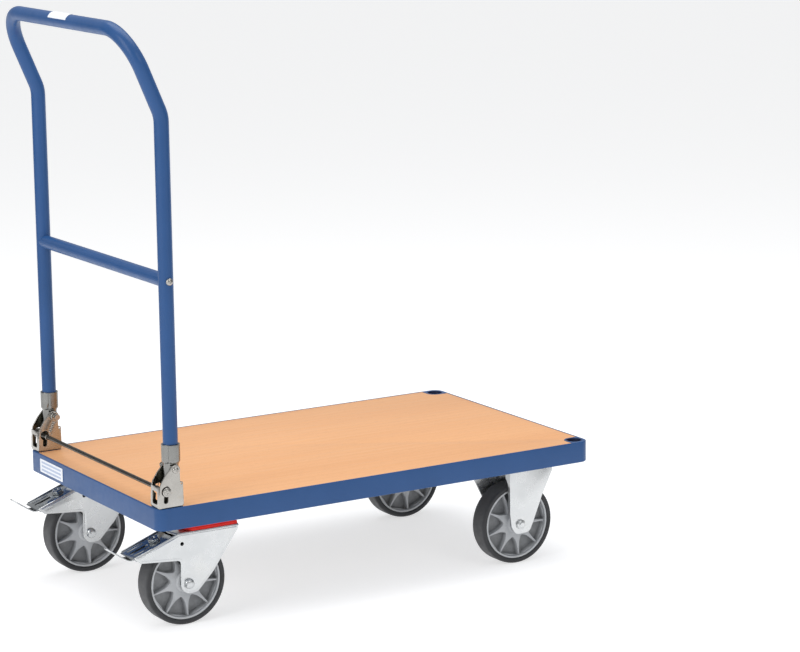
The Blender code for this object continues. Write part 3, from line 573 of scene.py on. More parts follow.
def circle(centre, radius, steps=48, phase=0.0):
    return [
        (
            centre[0] + radius * math.cos(phase + 2 * math.pi * k / steps),
            centre[1] + radius * math.sin(phase + 2 * math.pi * k / steps),
        )
        for k in range(steps)
    ]


def frame_of(axis):
    w = Vector(axis).normalized()
    u = Vector((1, 0, 0)) if abs(w.x) < 0.9 else Vector((0, 0, 1))
    u = (u - w * u.dot(w)).normalized()
    return u, w.cross(u), w


def lathe(profile, centre, axis, steps=48, phase=0.0, place=True, shape=None):
    """Turns (radius, height) points about an axis. shape(radius, height, angle) may change the radius."""
    u, v, w = frame_of(axis)
    centre = Vector(centre)
    bm = bmesh.new()
    shared = {}
    rings = []
    for k in range(steps):
        t = phase + 2 * math.pi * k / steps
        d = u * math.cos(t) + v * math.sin(t)
        ring = []
        for i, (r, h) in enumerate(profile):
            if r <= 1e-9:
                if i not in shared:
                    shared[i] = bm.verts.new(centre + w * h)
                ring.append(shared[i])
            else:
                ring.append(bm.verts.new(centre + d * (shape(r, h, t) if shape else r) + w * h))
        rings.append(ring)
    n = len(profile)
    for k in range(steps):
        a, b = rings[k], rings[(k + 1) % steps]
        for i in range(n):
            j = (i + 1) % n
            corners = []
            for c in (a[i], a[j], b[j], b[i]):
                if c not in corners:
                    corners.append(c)
            if len(corners) >= 3:
                bm.faces.new(corners)
    return solid(bm, place)


def bend(points, steps):
    out = [Vector(points[0][0])]
    for i in range(1, len(points) - 1):
        here, radius = Vector(points[i][0]), points[i][1]
        a = (Vector(points[i - 1][0]) - here).normalized()
        b = (Vector(points[i + 1][0]) - here).normalized()
        half = math.acos(a.dot(b)) / 2.0
        reach = radius / math.tan(half)
        start = here + a * reach
        centre = here + (a + b).normalized() * (radius / math.sin(half))
        axis = (here + b * reach - centre).cross(start - centre).normalized()
        turn = math.pi - 2 * half
        count = steps[i]
        for k in range(count + 1):
            out.append(centre + Matrix.Rotation(-turn * k / count, 3, axis) @ (start - centre))
    out.append(Vector(points[-1][0]))
    return out


def sweep(path, radius, sides, inner=0.0, side=None):
    path = [Vector(p) for p in path]
    tangents = []
    for i in range(len(path)):
        tangents.append((path[min(i + 1, len(path) - 1)] - path[max(i - 1, 0)]).normalized())
    normal = Vector(side) if side else frame_of(tangents[0])[0]
    bm = bmesh.new()
    outer, inside = [], []
    for p, t in zip(path, tangents):
        normal = (normal - t * normal.dot(t)).normalized()
        other = t.cross(normal)
        ring, ring_in = [], []
        for k in range(sides):
            s = 2 * math.pi * k / sides
            d = normal * math.cos(s) + other * math.sin(s)
            ring.append(bm.verts.new(p + d * radius))
            if inner:
                ring_in.append(bm.verts.new(p + d * inner))
        outer.append(ring)
        inside.append(ring_in)

    def skin(rings):
        for a, b in zip(rings, rings[1:]):
            for k in range(sides):
                m = (k + 1) % sides
                bm.faces.new((a[k], a[m], b[m], b[k]))

    skin(outer)
    if inner:
        skin(inside)
        for ring, ring_in in ((outer[0], inside[0]), (outer[-1], inside[-1])):
            for k in range(sides):
                m = (k + 1) % sides
                bm.faces.new((ring[k], ring[m], ring_in[m], ring_in[k]))
    else:
        bm.faces.new(list(reversed(outer[0])))
        bm.faces.new(outer[-1])
    return solid(bm)


OPEN = []


def piece(name, ob, finish, owner, slot, *stands_for, sharp=36.0, ride=True):
    ob.name = name
    ob.data.name = name
    ob.data.materials.clear()
    ob.data.materials.append(finish)
    ob.data.shade_smooth()
    ob.data.set_sharp_from_angle(angle=math.radians(sharp))
    if not is_closed(ob.data):
        OPEN.append(name)
    if ride:
        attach(ob, owner)
    if stands_for:
        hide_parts(*stands_for)
    return ob


# ---------------------------------------------------------------- platform frame
def ring_section(profile, per_corner=14):
    bm = bmesh.new()
    hx, hy = PLATFORM_LENGTH / 2, PLATFORM_WIDTH / 2
    rings = []
    for quadrant, (sx, sy) in enumerate(((1, 1), (-1, 1), (-1, -1), (1, -1))):
        for k in range(per_corner + 1):
            t = math.radians(90 * quadrant + 90.0 * k / per_corner)
            ring = []
            for step, z in profile:
                r = max(FRAME_CORNER - step, 0.0)
                c = max(FRAME_CORNER, step)
                ring.append(
                    bm.verts.new((hx + sx * (hx - c) + r * math.cos(t), sy * (hy - c) + r * math.sin(t), z))
                )
            rings.append(ring)
    n = len(profile)
    for a, b in zip(rings, rings[1:] + rings[:1]):
        for i in range(n):
            bm.faces.new((a[i], a[(i + 1) % n], b[(i + 1) % n], b[i]))
    bmesh.ops.remove_doubles(bm, verts=bm.verts, dist=0.001)
    return solid(bm)


def arc(cx, cz, r, a0, a1, steps):
    return [
        (cx + r * math.cos(math.radians(a0 + (a1 - a0) * k / steps)), cz + r * math.sin(math.radians(a0 + (a1 - a0) * k / steps)))
        for k in range(steps + 1)
    ]


SOCKET = (PLATFORM_LENGTH - 22.0, PLATFORM_WIDTH / 2 - 23.0)
GUSSET = 18.5
z0, z1 = FRAME_BOTTOM, DECK_TOP
ledge = z1 - LEDGE_DEPTH
profile = (
    arc(1.9, z0 + 1.9, 1.9, 270, 180, 4)
    + arc(1.5, z1 - 1.5, 1.5, 180, 90, 5)
    + [(2.75, z1), (3.0, z1 - 0.25), (3, ledge), (28, ledge), (28, ledge - 3), (3, ledge - 3), (3, z0 + 3), (40, z0 + 3), (40, z0)]
)
ring = ring_section(profile)
extras = []
for s in (-1, 1):
    w = s * (PLATFORM_WIDTH / 2 - 1.5)
    extras.append(
        prism(fillet([(51, s * 241), (51, w), (1.5, w, 18.5), (1.5, s * 241)], 10), z1 - 4, z1 - 0.02, "Z")
    )
    e = PLATFORM_LENGTH - 1.5
    outline = [
        (SOCKET[0] - GUSSET, w),
        (e, w, 18.5),
        (e, s * (SOCKET[1] - GUSSET)),
        (SOCKET[0] - GUSSET, s * (SOCKET[1] - GUSSET), GUSSET - 0.01),
    ]
    extras.append(prism(fillet(outline, 10), z1 - 4, z1 - 0.02, "Z"))
    extras.append(prism(circle((SOCKET[0], s * SOCKET[1]), GUSSET - 0.5, 48), z0 + 2, z1 - 2, "Z"))
    for x_in, x_out in ((198.0, 1.5), (712.0, e)):
        outline = [(x_in, s * 146), (x_in, w), (x_out, w, 18.5), (x_out, s * 146)]
        extras.append(prism(fillet(outline, 8), z0 + 0.3, z0 + 4, "Z"))
for x in (330.0, 600.0):
    beam = box((x - 15, -274, z0 + 3.6), (x + 15, 274, ledge - 0.3))
    extras.append(cut(beam, box((x - 12.5, -271, z0 + 1), (x + 12.5, 271, ledge - 2.8))))
ring = join(ring, *extras)
bores = [prism(circle((SOCKET[0], s * SOCKET[1]), 15.5, 48), z0 + 6, z1 + 5, "Z") for s in (-1, 1)]
piece("platform_frame_steel", cut(ring, *bores), BLUE, "platform", "blue_paint", "platform_frame", sharp=30)

# ---------------------------------------------------------------- deck board
g = BOARD_GAP
m = FRAME_WALL + g
edge_y = PLATFORM_WIDTH / 2 - m
notch_x, notch_y = SOCKET[0] - GUSSET - g, SOCKET[1] - GUSSET - g
outline = [
    (m, -241 + g), (51 + g, -241 + g), (51 + g, -edge_y), (notch_x, -edge_y), (notch_x, -notch_y, GUSSET + g),
    (PLATFORM_LENGTH - m, -notch_y), (PLATFORM_LENGTH - m, notch_y), (notch_x, notch_y, GUSSET + g),
    (notch_x, edge_y), (51 + g, edge_y), (51 + g, 241 - g), (m, 241 - g),
]
board = prism(fillet(outline, 12), ledge + g, z1 - 0.3, "Z")
piece("deck_board_beech", soften(board, 0.7, 3, 50), WOOD, "platform", "beech_board", "deck_board", sharp=50)

for side_name, s in SIDES:
    cup = (
        [(0, z0 + 8), (14.4, z0 + 8), (15.2, z0 + 8.8)]
        + [(15.2, z1 - 1.0), (14.9, z1 - 0.4), (14.3, z1 - 0.2), (13.5, z1 - 0.35), (13.1, z1 - 0.9)]
        + [(12.6, z0 + 12), (11.6, z0 + 11), (0, z0 + 11)]
    )
    piece(
        "corner_socket_cup_" + side_name,
        lathe(cup, (SOCKET[0], s * SOCKET[1], 0), (0, 0, 1), 64),
        NAVY, "platform", "navy_plastic", "corner_socket_" + side_name,
    )

label = [(124, 202.5, 2.0), (225, 202.5, 2.0), (225, 228.5, 2.0), (124, 228.5, 2.0)]
piece(
    "identification_label_film",
    loft([(fillet(inset(label, 0.25), 6), -0.9), (fillet(label, 6), -0.7), (fillet(label, 6), -0.35)], "X"),
    LABEL, "platform", "white_film", "identification_label",
)

# ---------------------------------------------------------------- hinge brackets
CHEEK = [
    (-34.0, -66.5, 3), (15.0, -66.5, 5), (14.2, -22.7, 2), (8.9, -21.5, 1.5), (8.6, -5.5), (9.4, 0.6), (7.6, 5.6),
    (3.4, 9.0), (-2.0, 9.3), (-7.4, 7.0), (-20.4, -7.5, 12), (-30.2, -22.0, 14), (-33.0, -43.0, 20),
]


def rod_at(z):
    return (ROD_REST[0] + ROD_SLOPE * (z - ROD_REST[1]), z)


for side_name, s in SIDES:
    pivot = Vector((HANDLE_X, s * HANDLE_Y, PIVOT_Z))
    half = CHEEK_GAP / 2
    outer = half + CHEEK_SHEET
    points = [(HANDLE_X + p[0], PIVOT_Z + p[1], *p[2:]) for p in CHEEK]
    near = sheet_part(points, pivot.y - outer, pivot.y - half, "Y", 0.9, 6)
    far = sheet_part(points, pivot.y + outer, pivot.y + half, "Y", 0.9, 6)
    web = box((pivot.x - 33.6, pivot.y - half - 0.5, pivot.z - 66.9), (pivot.x - 30.6, pivot.y + half + 0.5, pivot.z - 28.0))
    base = box((pivot.x - 33.2, pivot.y - half - 0.5, pivot.z - 67.3), (pivot.x + 14.6, pivot.y + half + 0.5, pivot.z - 64.3))
    bracket = join(near, soften(web, 0.4), soften(base, 0.4), far)
    win = [
        (pivot.y - 9.5, pivot.z - 60.5, 3), (pivot.y + 9.5, pivot.z - 60.5, 3),
        (pivot.y + 9.5, pivot.z - 36.5, 3), (pivot.y - 9.5, pivot.z - 36.5, 3),
    ]
    window = prism(fillet(win, 6), pivot.x - 40, pivot.x - 27, "X")
    hole = prism(circle((pivot.x, pivot.z), 5.4, 32), pivot.y - 25, pivot.y + 25, "Y")
    a, b = rod_at(SLOT_TOP), rod_at(SLOT_BOTTOM)
    slot = prism(
        stadium((pivot.x + a[0], pivot.z + a[1]), (pivot.x + b[0], pivot.z + b[1]), SLOT_HALF, 14),
        pivot.y - 25, pivot.y + 25, "Y",
    )
    # the bar's hole is wider at its resting place, and a small hole takes the setting pin
    eye = prism(circle((pivot.x + a[0] - 1.6, pivot.z + a[1] - 5.5), 9.2, 40), pivot.y - 25, pivot.y + 25, "Y")
    pin_hole = prism(circle((pivot.x + 11.3, pivot.z - 25.6), 1.7, 20), pivot.y - 25, pivot.y + 25, "Y")
    piece(
        "hinge_bracket_steel_" + side_name, cut(bracket, window, hole, slot, eye, pin_hole), BRACKET,
        "platform", "bracket_steel", "hinge_bracket_" + side_name, sharp=30,
    )

    bolt = [
        (0, 20.6), (2.0, 20.5), (3.6, 20.2), (4.9, 19.6), (5.7, 18.9), (6.0, 18.2), (6.0, 17.9), (5.0, 17.9),
        (5.0, -17.9), (7.4, -17.9), (8.2, -18.6), (8.2, -23.2), (7.4, -23.9), (4.0, -23.9), (4.0, -33.2),
        (4.3, -33.5), (5.4, -33.7), (5.4, -34.9), (5.0, -35.2), (0, -35.2),
    ]
    head = lathe(bolt, pivot, (0, s, 0), 48)
    recess = lathe([(0, 22.5), (2.5, 22.5), (2.3, 19.4), (0, 19.1)], pivot, (0, s, 0), 6)
    piece(
        "handle_pivot_bolt_steel_" + side_name, cut(head, recess), STEEL,
        "platform", "zinc_steel", "handle_pivot_bolt_" + side_name,
    )

    # round-head rivet that holds the bracket's base to the frame, between the cheeks
    rivet = [(0, -61.3), (2.6, -61.5), (4.6, -62.1), (5.9, -63.1), (6.3, -64.1), (0, -64.1)]
    piece(
        "bracket_base_rivet_" + side_name,
        lathe(rivet, (pivot.x - 6, pivot.y, pivot.z), (0, 0, 1), 40), ZINC, "platform", "zinc_steel",
    )

    # tension spring, which lengthens as the lock bar is pressed down
    c0 = Vector((pivot.x, pivot.y - s * 29.0, pivot.z))
    c1 = Vector((pivot.x + ROD_REST[0], c0.y, pivot.z + ROD_REST[1]))
    along = (c1 - c0).normalized()
    across = Vector((along.z, 0, -along.x))
    if across.x < 0:
        across.negate()
    out = Vector((0, 1, 0))
    length = (c1 - c0).length
    hook, coil, wire, turns, per = 5.2, 4.0, 0.8, 6, 22
    path = []
    for k in range(14):
        t = math.radians(200 - 200 * k / 13)
        path.append(c0 + across * hook * math.cos(t) - along * hook * math.sin(t))
    start, stop = 10.0, length - 10.0
    for k in range(turns * per + 1):
        t = 2 * math.pi * k / per
        path.append(c0 + along * (start + (stop - start) * k / (turns * per)) + (across * math.cos(t) + out * math.sin(t)) * coil)
    for k in range(14):
        t = math.radians(200 * k / 13)
        path.append(c1 + across * hook * math.cos(t) + along * hook * math.sin(t))
    spring = piece(
        "lock_spring_wire_" + side_name, sweep(path, wire, 8, side=(0, 1, 0)), STEEL,
        "platform", "zinc_steel", "lock_spring_" + side_name, sharp=60, ride=False,
    )
    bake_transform(spring)

# ---------------------------------------------------------------- foot lock bar
rod_centre = (HANDLE_X + ROD_REST[0], 0, PIVOT_Z + ROD_REST[1])
reach = HANDLE_Y + CHEEK_GAP / 2 + CHEEK_SHEET + 0.2
bar = [(0, -reach), (3.4, -reach), (4, -reach + 0.8)]
bar += [(4, -reach + 0.8 + (2 * reach - 1.6) * k / 24) for k in range(1, 24)]
bar += [(4, reach - 0.8), (3.4, reach), (0, reach)]
piece("foot_lock_bar_steel", lathe(bar, rod_centre, (0, 1, 0), 32), ROD, "foot_lock", "bracket_steel", "foot_lock_bar")
for side_name, s in SIDES:
    cap = [
        (0, reach + 3.5), (1.5, reach + 3.6), (2.1, reach + 4.3), (2.9, reach + 4.6), (4.4, reach + 4.4), (5.4, reach + 3.7),
        (5.8, reach + 2.8), (5.9, reach + 2.2), (7.9, reach + 1.9), (8.5, reach + 1.4), (8.5, reach + 0.6), (8.2, reach + 0.4), (0, reach + 0.4),
    ]
    piece(
        "lock_bar_end_bolt_zinc_" + side_name, lathe(cap, rod_centre, (0, s, 0), 48), STEEL,
        "foot_lock", "zinc_steel", "lock_bar_end_bolt_" + side_name,
    )

# ---------------------------------------------------------------- handle
corners = [
    ((HANDLE_X, -HANDLE_Y, PIVOT_Z + 16.5), 0),
    ((HANDLE_X, -HANDLE_Y, ELBOW_Z), ELBOW_BEND),
    ((TOPBAR_X, -HANDLE_Y, TOPBAR_Z), CORNER_BEND),
    ((TOPBAR_X, HANDLE_Y, TOPBAR_Z), CORNER_BEND),
    ((HANDLE_X, HANDLE_Y, ELBOW_Z), ELBOW_BEND),
    ((HANDLE_X, HANDLE_Y, PIVOT_Z + 16.5), 0),
]
bow = sweep(bend(corners, (0, 10, 22, 22, 10, 0)), TUBE_RADIUS, 48, TUBE_RADIUS - TUBE_WALL, (1, 0, 0))
drills = [prism(circle((HANDLE_X, CROSSBAR_Z), 3.4, 24), s * HANDLE_Y - 20, s * HANDLE_Y + 20, "Y") for s in (-1, 1)]
piece("handle_bow_tube", cut(bow, *drills), BLUE, "handle", "blue_paint", "handle_bow")

bar = sweep(
    [(HANDLE_X, -HANDLE_Y, CROSSBAR_Z), (HANDLE_X, HANDLE_Y, CROSSBAR_Z)], CROSSBAR_RADIUS, 40, CROSSBAR_RADIUS - 2.0, (1, 0, 0)
)
copes = [
    prism(circle((HANDLE_X, s * HANDLE_Y), TUBE_RADIUS + 0.12, 48), CROSSBAR_Z - 30, CROSSBAR_Z + 30, "Z") for s in (-1, 1)
]
piece("handle_crossbar_tube", cut(bar, *copes), BLUE, "handle", "blue_paint", "handle_crossbar")

for side_name, s in SIDES:
    pivot = Vector((HANDLE_X, s * HANDLE_Y, PIVOT_Z))
    sleeve = (
        [(STUB_RADIUS - 0.6, -STUB_LENGTH), (STUB_RADIUS, -STUB_LENGTH + 0.6), (STUB_RADIUS, -12), (STUB_RADIUS, 2), (STUB_RADIUS, 7.2)]
        + [(13.7, 8.8), (14.3, 10.4), (15.2, 12.0), (16.2, 13.4), (16.8, 15.2)]
        + [(16.8, 15.2 + 1.35 * k) for k in range(1, 22)]
        + [(16.8, 44.4), (16.6, 45.0), (16.1, 45.2), (13.8, 45.2), (13.8, 16.0), (11.2, 16.0), (11.2, -STUB_LENGTH)]
    )
    crimp = math.radians(-132.0 if s < 0 else -122.0)

    def pinched(r, h, t, at=crimp):
        """Lap seam along the rolled sleeve, and a V notch at its lower end."""
        if r < 13.85 or h < 6:
            return r
        d = (t - at + math.pi) % (2 * math.pi) - math.pi
        lap = 1.5 * ((d + 0.75) / 0.75) ** 1.6 if -0.75 < d <= 0.0 and h > 15 else 0.0
        vee = 1.6 * max(0.0, 1 - abs(d) / max(0.05, 0.42 * (24.0 - h) / 12.0)) if 9.0 < h < 24.0 else 0.0
        return max(r - lap - vee, 13.5 if h < 14 else 14.4)

    tube = lathe(sleeve, pivot, (0, 0, 1), 120, shape=pinched)
    hole = prism(circle((pivot.x, pivot.z), 5.5, 32), pivot.y - 25, pivot.y + 25, "Y")
    dot_dir = Vector((math.cos(math.radians(-117.0)), math.sin(math.radians(-117.0)), 0))
    dot = lathe([(0, 9), (1.7, 9), (1.7, 20), (0, 20)], (pivot.x, pivot.y, pivot.z + 8.6), dot_dir, 20)
    piece(
        "hinge_tube_sleeve_" + side_name, cut(tube, hole, dot), SLEEVE,
        "handle", "bracket_steel", "hinge_tube_" + side_name, sharp=40,
    )
    screw = [(0, 17.8), (1.8, 17.75), (3.6, 17.45), (5.0, 16.9), (6.0, 16.1), (6.5, 15.0), (6.5, 13.8), (3.0, 13.8), (3.0, -25.4), (2.4, -26), (0, -26)]
    head = lathe(screw, (HANDLE_X, s * HANDLE_Y, CROSSBAR_Z), (0, s, 0), 48)
    recess = lathe([(0, 18.5), (2.5, 18.5), (2.3, 16.4), (0, 16.2)], (HANDLE_X, s * HANDLE_Y, CROSSBAR_Z), (0, s, 0), 6)
    piece(
        "crossbar_screw_zinc_" + side_name, cut(head, recess), STEEL, "handle", "zinc_steel", "crossbar_screw_" + side_name,
    )

skin = []
for radius, order in ((TUBE_RADIUS + 0.35, 1), (TUBE_RADIUS + 0.75, -1)):
    line = [
        (TOPBAR_X + radius * math.cos(math.radians(80 + 82 * k / 20)), TOPBAR_Z + radius * math.sin(math.radians(80 + 82 * k / 20)))
        for k in range(21)
    ]
    skin += line[::order]
piece("handle_sticker_film", prism(skin, -42, 32, "Y"), STICKER, "handle", "white_film", "handle_sticker", sharp=45)

# ---------------------------------------------------------------- wheels
WHEEL_STEPS = 108
half_tread = (
    [(69.95, -17.2), (70.2, -18.4), (71.2, -19.3), (72.6, -19.75), (73.4, -19.55), (74.0, -19.75), (75.2, -19.95)]
    + [(76.6, -19.75), (77.9, -19.0), (78.9, -17.7), (79.55, -16.0), (79.9, -13.8), (80.0, -11.0), (80.0, -5.5)]
)
tread = half_tread + [(r, -h) for r, h in reversed(half_tread)]
TYRE = lathe(tread, (0, 0, 0), (0, 1, 0), WHEEL_STEPS, place=False)
half_rim = [
    (69.8, -16.4), (69.5, -17.3), (68.9, -17.6), (66.9, -17.6), (66.2, -17.2), (65.9, -16.4), (64.9, -3.0), (64.2, -2.0),
    (26.0, -2.0), (21.5, -6.0), (20.4, -13.0), (18.8, -19.4), (18.0, -20.3), (17.2, -20.5), (12.9, -20.5), (12.4, -20.0),
]
rim = half_rim + [(r, -h) for r, h in reversed(half_rim)]
RIM = lathe(rim, (0, 0, 0), (0, 1, 0), WHEEL_STEPS, place=False)
RIB_TOP = 14.5
body_disc = lathe(
    [(15.0, -RIB_TOP), (65.2, -RIB_TOP + 0.8), (65.2, RIB_TOP - 0.8), (15.0, RIB_TOP)], (0, 0, 0), (0, 1, 0), WHEEL_STEPS, place=False
)
pockets = []
for k in range(9):
    mid = math.radians(40 * k + 20.0)
    corner_list = []
    for r, rib, radius in ((27.5, 0, 4.2), (39.0, 3.4, 14.0), (52.0, 1.7, 30.0), (66.8, 1.25, 0.6)):
        limit = math.radians(20.0) - (math.asin(rib / r) if rib else math.radians(20.0))
        corner_list.append((r, limit, radius))
    pts = [(corner_list[0][0], 0.0, corner_list[0][2])]
    pts += [(r, a, q) for r, a, q in corner_list[1:]]
    pts += [(r, -a, q) for r, a, q in reversed(corner_list[1:])]
    flat = [(r * math.cos(mid + a), r * math.sin(mid + a), q) for r, a, q in pts]
    top_outline = fillet(flat, 5)
    floor_outline = fillet(inset(flat, 0.75), 5)
    for side in (-1, 1):
        bm = bmesh.new()
        levels = [(floor_outline, side * 2.0), (top_outline, side * RIB_TOP), (top_outline, side * 22.0)]
        rings = [[bm.verts.new((p[0], h, p[1])) for p in o] for o, h in levels]
        bm.faces.new(rings[0])
        bm.faces.new(list(reversed(rings[-1])))
        n = len(rings[0])
        for a, b in zip(rings, rings[1:]):
            for i in range(n):
                bm.faces.new((a[i], b[i], b[(i + 1) % n], a[(i + 1) % n]))
        pockets.append(solid(bm, place=False))
body_disc = cut(body_disc, merge(pockets))
RIM = join(RIM, body_disc)
RIM = soften(RIM, 0.28, 2, 48)
BUSH = lathe(
    [(11.6, -26.0), (12.0, -25.6), (12.0, 25.6), (11.6, 26.0), (6.7, 26.0), (6.35, 25.6), (6.35, -25.6), (6.7, -26.0)],
    (0, 0, 0), (0, 1, 0), 48, place=False,
)


def placed(shape, x, y, phase):
    me = shape.data.copy()
    me.transform(Matrix.Translation(put((x, y, WHEEL_RADIUS))) @ Matrix.Rotation(math.radians(-phase), 4, "Y"))
    ob = bpy.data.objects.new("shape", me)
    bpy.context.scene.collection.objects.link(ob)
    return ob


def wheel(owner, x, y, phase):
    piece(owner + "_tyre_rubber", placed(TYRE, x, y, 0), RUBBER, owner, "rubber", owner + "_tyre")
    piece(owner + "_rim_nylon", placed(RIM, x, y, phase), NYLON, owner, "nylon_rim", owner + "_rim", sharp=32)
    piece(owner + "_bush_zinc", placed(BUSH, x, y, 0), ZINC, owner, "zinc_steel", owner + "_bush")


def axle(owner, name, x, y, domed):
    centre = (x, y, WHEEL_RADIUS)
    if domed:
        head = lathe(
            [(0, -37.5), (3.0, -37.35), (5.6, -36.8), (7.6, -35.8), (8.9, -34.4), (9.5, -32.6), (9.6, -30.9), (9.2, -30.1)]
            + [(6.0, -30.1), (6.0, 40.5), (5.2, 41.5), (0, 41.5)],
            centre, (0, 1, 0), 56,
        )
        notch = prism(circle((x - 11.0, WHEEL_RADIUS), 4.6, 28), y - 40, y - 30.9, "Y")
        bolt = cut(head, notch)
    else:
        shaft = lathe([(0, -37.4), (4.6, -37.4), (5.6, -36.6), (6.0, -36.2), (6.0, 40.5), (5.2, 41.5), (0, 41.5)], centre, (0, 1, 0), 48)
        hexhead = lathe([(0, -35.4), (7.9, -35.4), (9.5, -34.4), (9.5, -31.4), (0, -31.4)], centre, (0, 1, 0), 6, math.radians(12))
        washer = lathe([(0, -31.6), (9.3, -31.6), (9.6, -31.3), (9.6, -30.4), (9.3, -30.1), (0, -30.1)], centre, (0, 1, 0), 48)
        bolt = join(shaft, hexhead, washer)
    piece(name + "_axle_bolt_zinc", bolt, ZINC, owner, "zinc_steel", name + "_axle_bolt")
    nut = lathe([(0, 30.1), (9.3, 30.1), (9.6, 30.4), (9.6, 31.4), (9.3, 31.7), (0, 31.7)], centre, (0, 1, 0), 48)
    hexnut = lathe([(0, 31.5), (9.4, 31.5), (9.4, 36.9), (7.9, 38.0), (0, 38.0)], centre, (0, 1, 0), 6, math.radians(20))
    bore = lathe([(0, 28), (6.35, 28), (6.35, 44), (0, 44)], centre, (0, 1, 0), 48)
    piece(name + "_axle_nut_zinc", cut(join(nut, hexnut), bore), ZINC, owner, "zinc_steel", name + "_axle_nut")


def button_heads(name, x, y, top, height, spots, owner):
    """Round heads of the bolts that hold a castor's plate, under the plate."""
    heads = []
    for dx, dy in spots:
        h = height
        r = 7.2
        dome = [(0, -h), (r * 0.45, -h * 0.97), (r * 0.78, -h * 0.78), (r * 0.95, -h * 0.42), (r, -0.05), (0, -0.05)]
        head = lathe([(a, b + top - 0.02) for a, b in dome], (x + dx, y + dy, 0), (0, 0, 1), 36)
        heads.append(cut(head, lathe([(0, top - h - 1), (2.3, top - h - 1), (2.1, top - h * 0.45), (0, top - h * 0.4)], (x + dx, y + dy, 0), (0, 0, 1), 6)))
    piece(name, merge(heads), ZINC, owner, "zinc_steel")


# ---------------------------------------------------------------- fixed castors
FIXED_CHEEK = [
    (-23.4, 192.5, 0.5), (69.0, 192.5, 3), (76.0, 180.0, 6), (51.2, 131.4, 30), (29.6, 79.5, 12), (21.5, 62.0, 12),
    (-10.0, 60.5, 14), (-19.8, 76.0, 10), (-23.4, 104.0, 20),
]
for side_name, s in SIDES:
    x, y = FIXED_AXLE_X, s * CASTER_Y
    px, py, pz = CASTER_PLATE
    top = FRAME_BOTTOM - 0.3
    corners = [(x - px / 2, y - py / 2, 8), (x + px / 2, y - py / 2, 8), (x + px / 2, y + py / 2, 8), (x - px / 2, y + py / 2, 8)]
    plate = loft(
        [(fillet(inset(corners, 0.5)), top - pz), (fillet(corners), top - pz + 0.5), (fillet(corners), top - 0.5), (fillet(inset(corners, 0.5)), top)], "Z"
    )
    parts = []
    for turn in (1, -1):
        points = [(x + turn * p[0], *p[1:]) for p in FIXED_CHEEK]
        face, back = y - turn * FORK_OUTER, y - turn * (FORK_OUTER - FORK_SHEET)
        cheek = sheet_part(points, face, back, "Y", 0.8)
        flange = [
            (face + turn * 0.8, 106, 2), (face + turn * 0.8, 192.4), (y - turn * 12.0, 192.4, 1), (y - turn * 14.0, 172, 5),
            (y - turn * 21.6, 162, 5), (y - turn * 22.6, 112, 2),
        ]
        xa, xb = x - turn * 23.35, x - turn * 20.4
        bent = prism(fillet(flange, 5), min(xa, xb), max(xa, xb), "X")
        parts += [cheek, bent]
    holes = prism(circle((x, WHEEL_RADIUS), 6.4, 32), y - 50, y + 50, "Y")
    fork = cut(join(plate, *parts), holes)
    piece("fixed_fork_zinc_" + side_name, fork, ZINC, "platform", "zinc_steel", "fixed_fork_" + side_name, sharp=32)
    button_heads(
        "fixed_castor_bolt_heads_" + side_name, x, y, top - pz, 4.6, [(a, b) for a in (-55, 55) for b in (-41, 41)], "platform"
    )
    axle("platform", "fixed_" + side_name, x, y, False)
    wheel("fixed_wheel_" + side_name, x, y, 36.0)

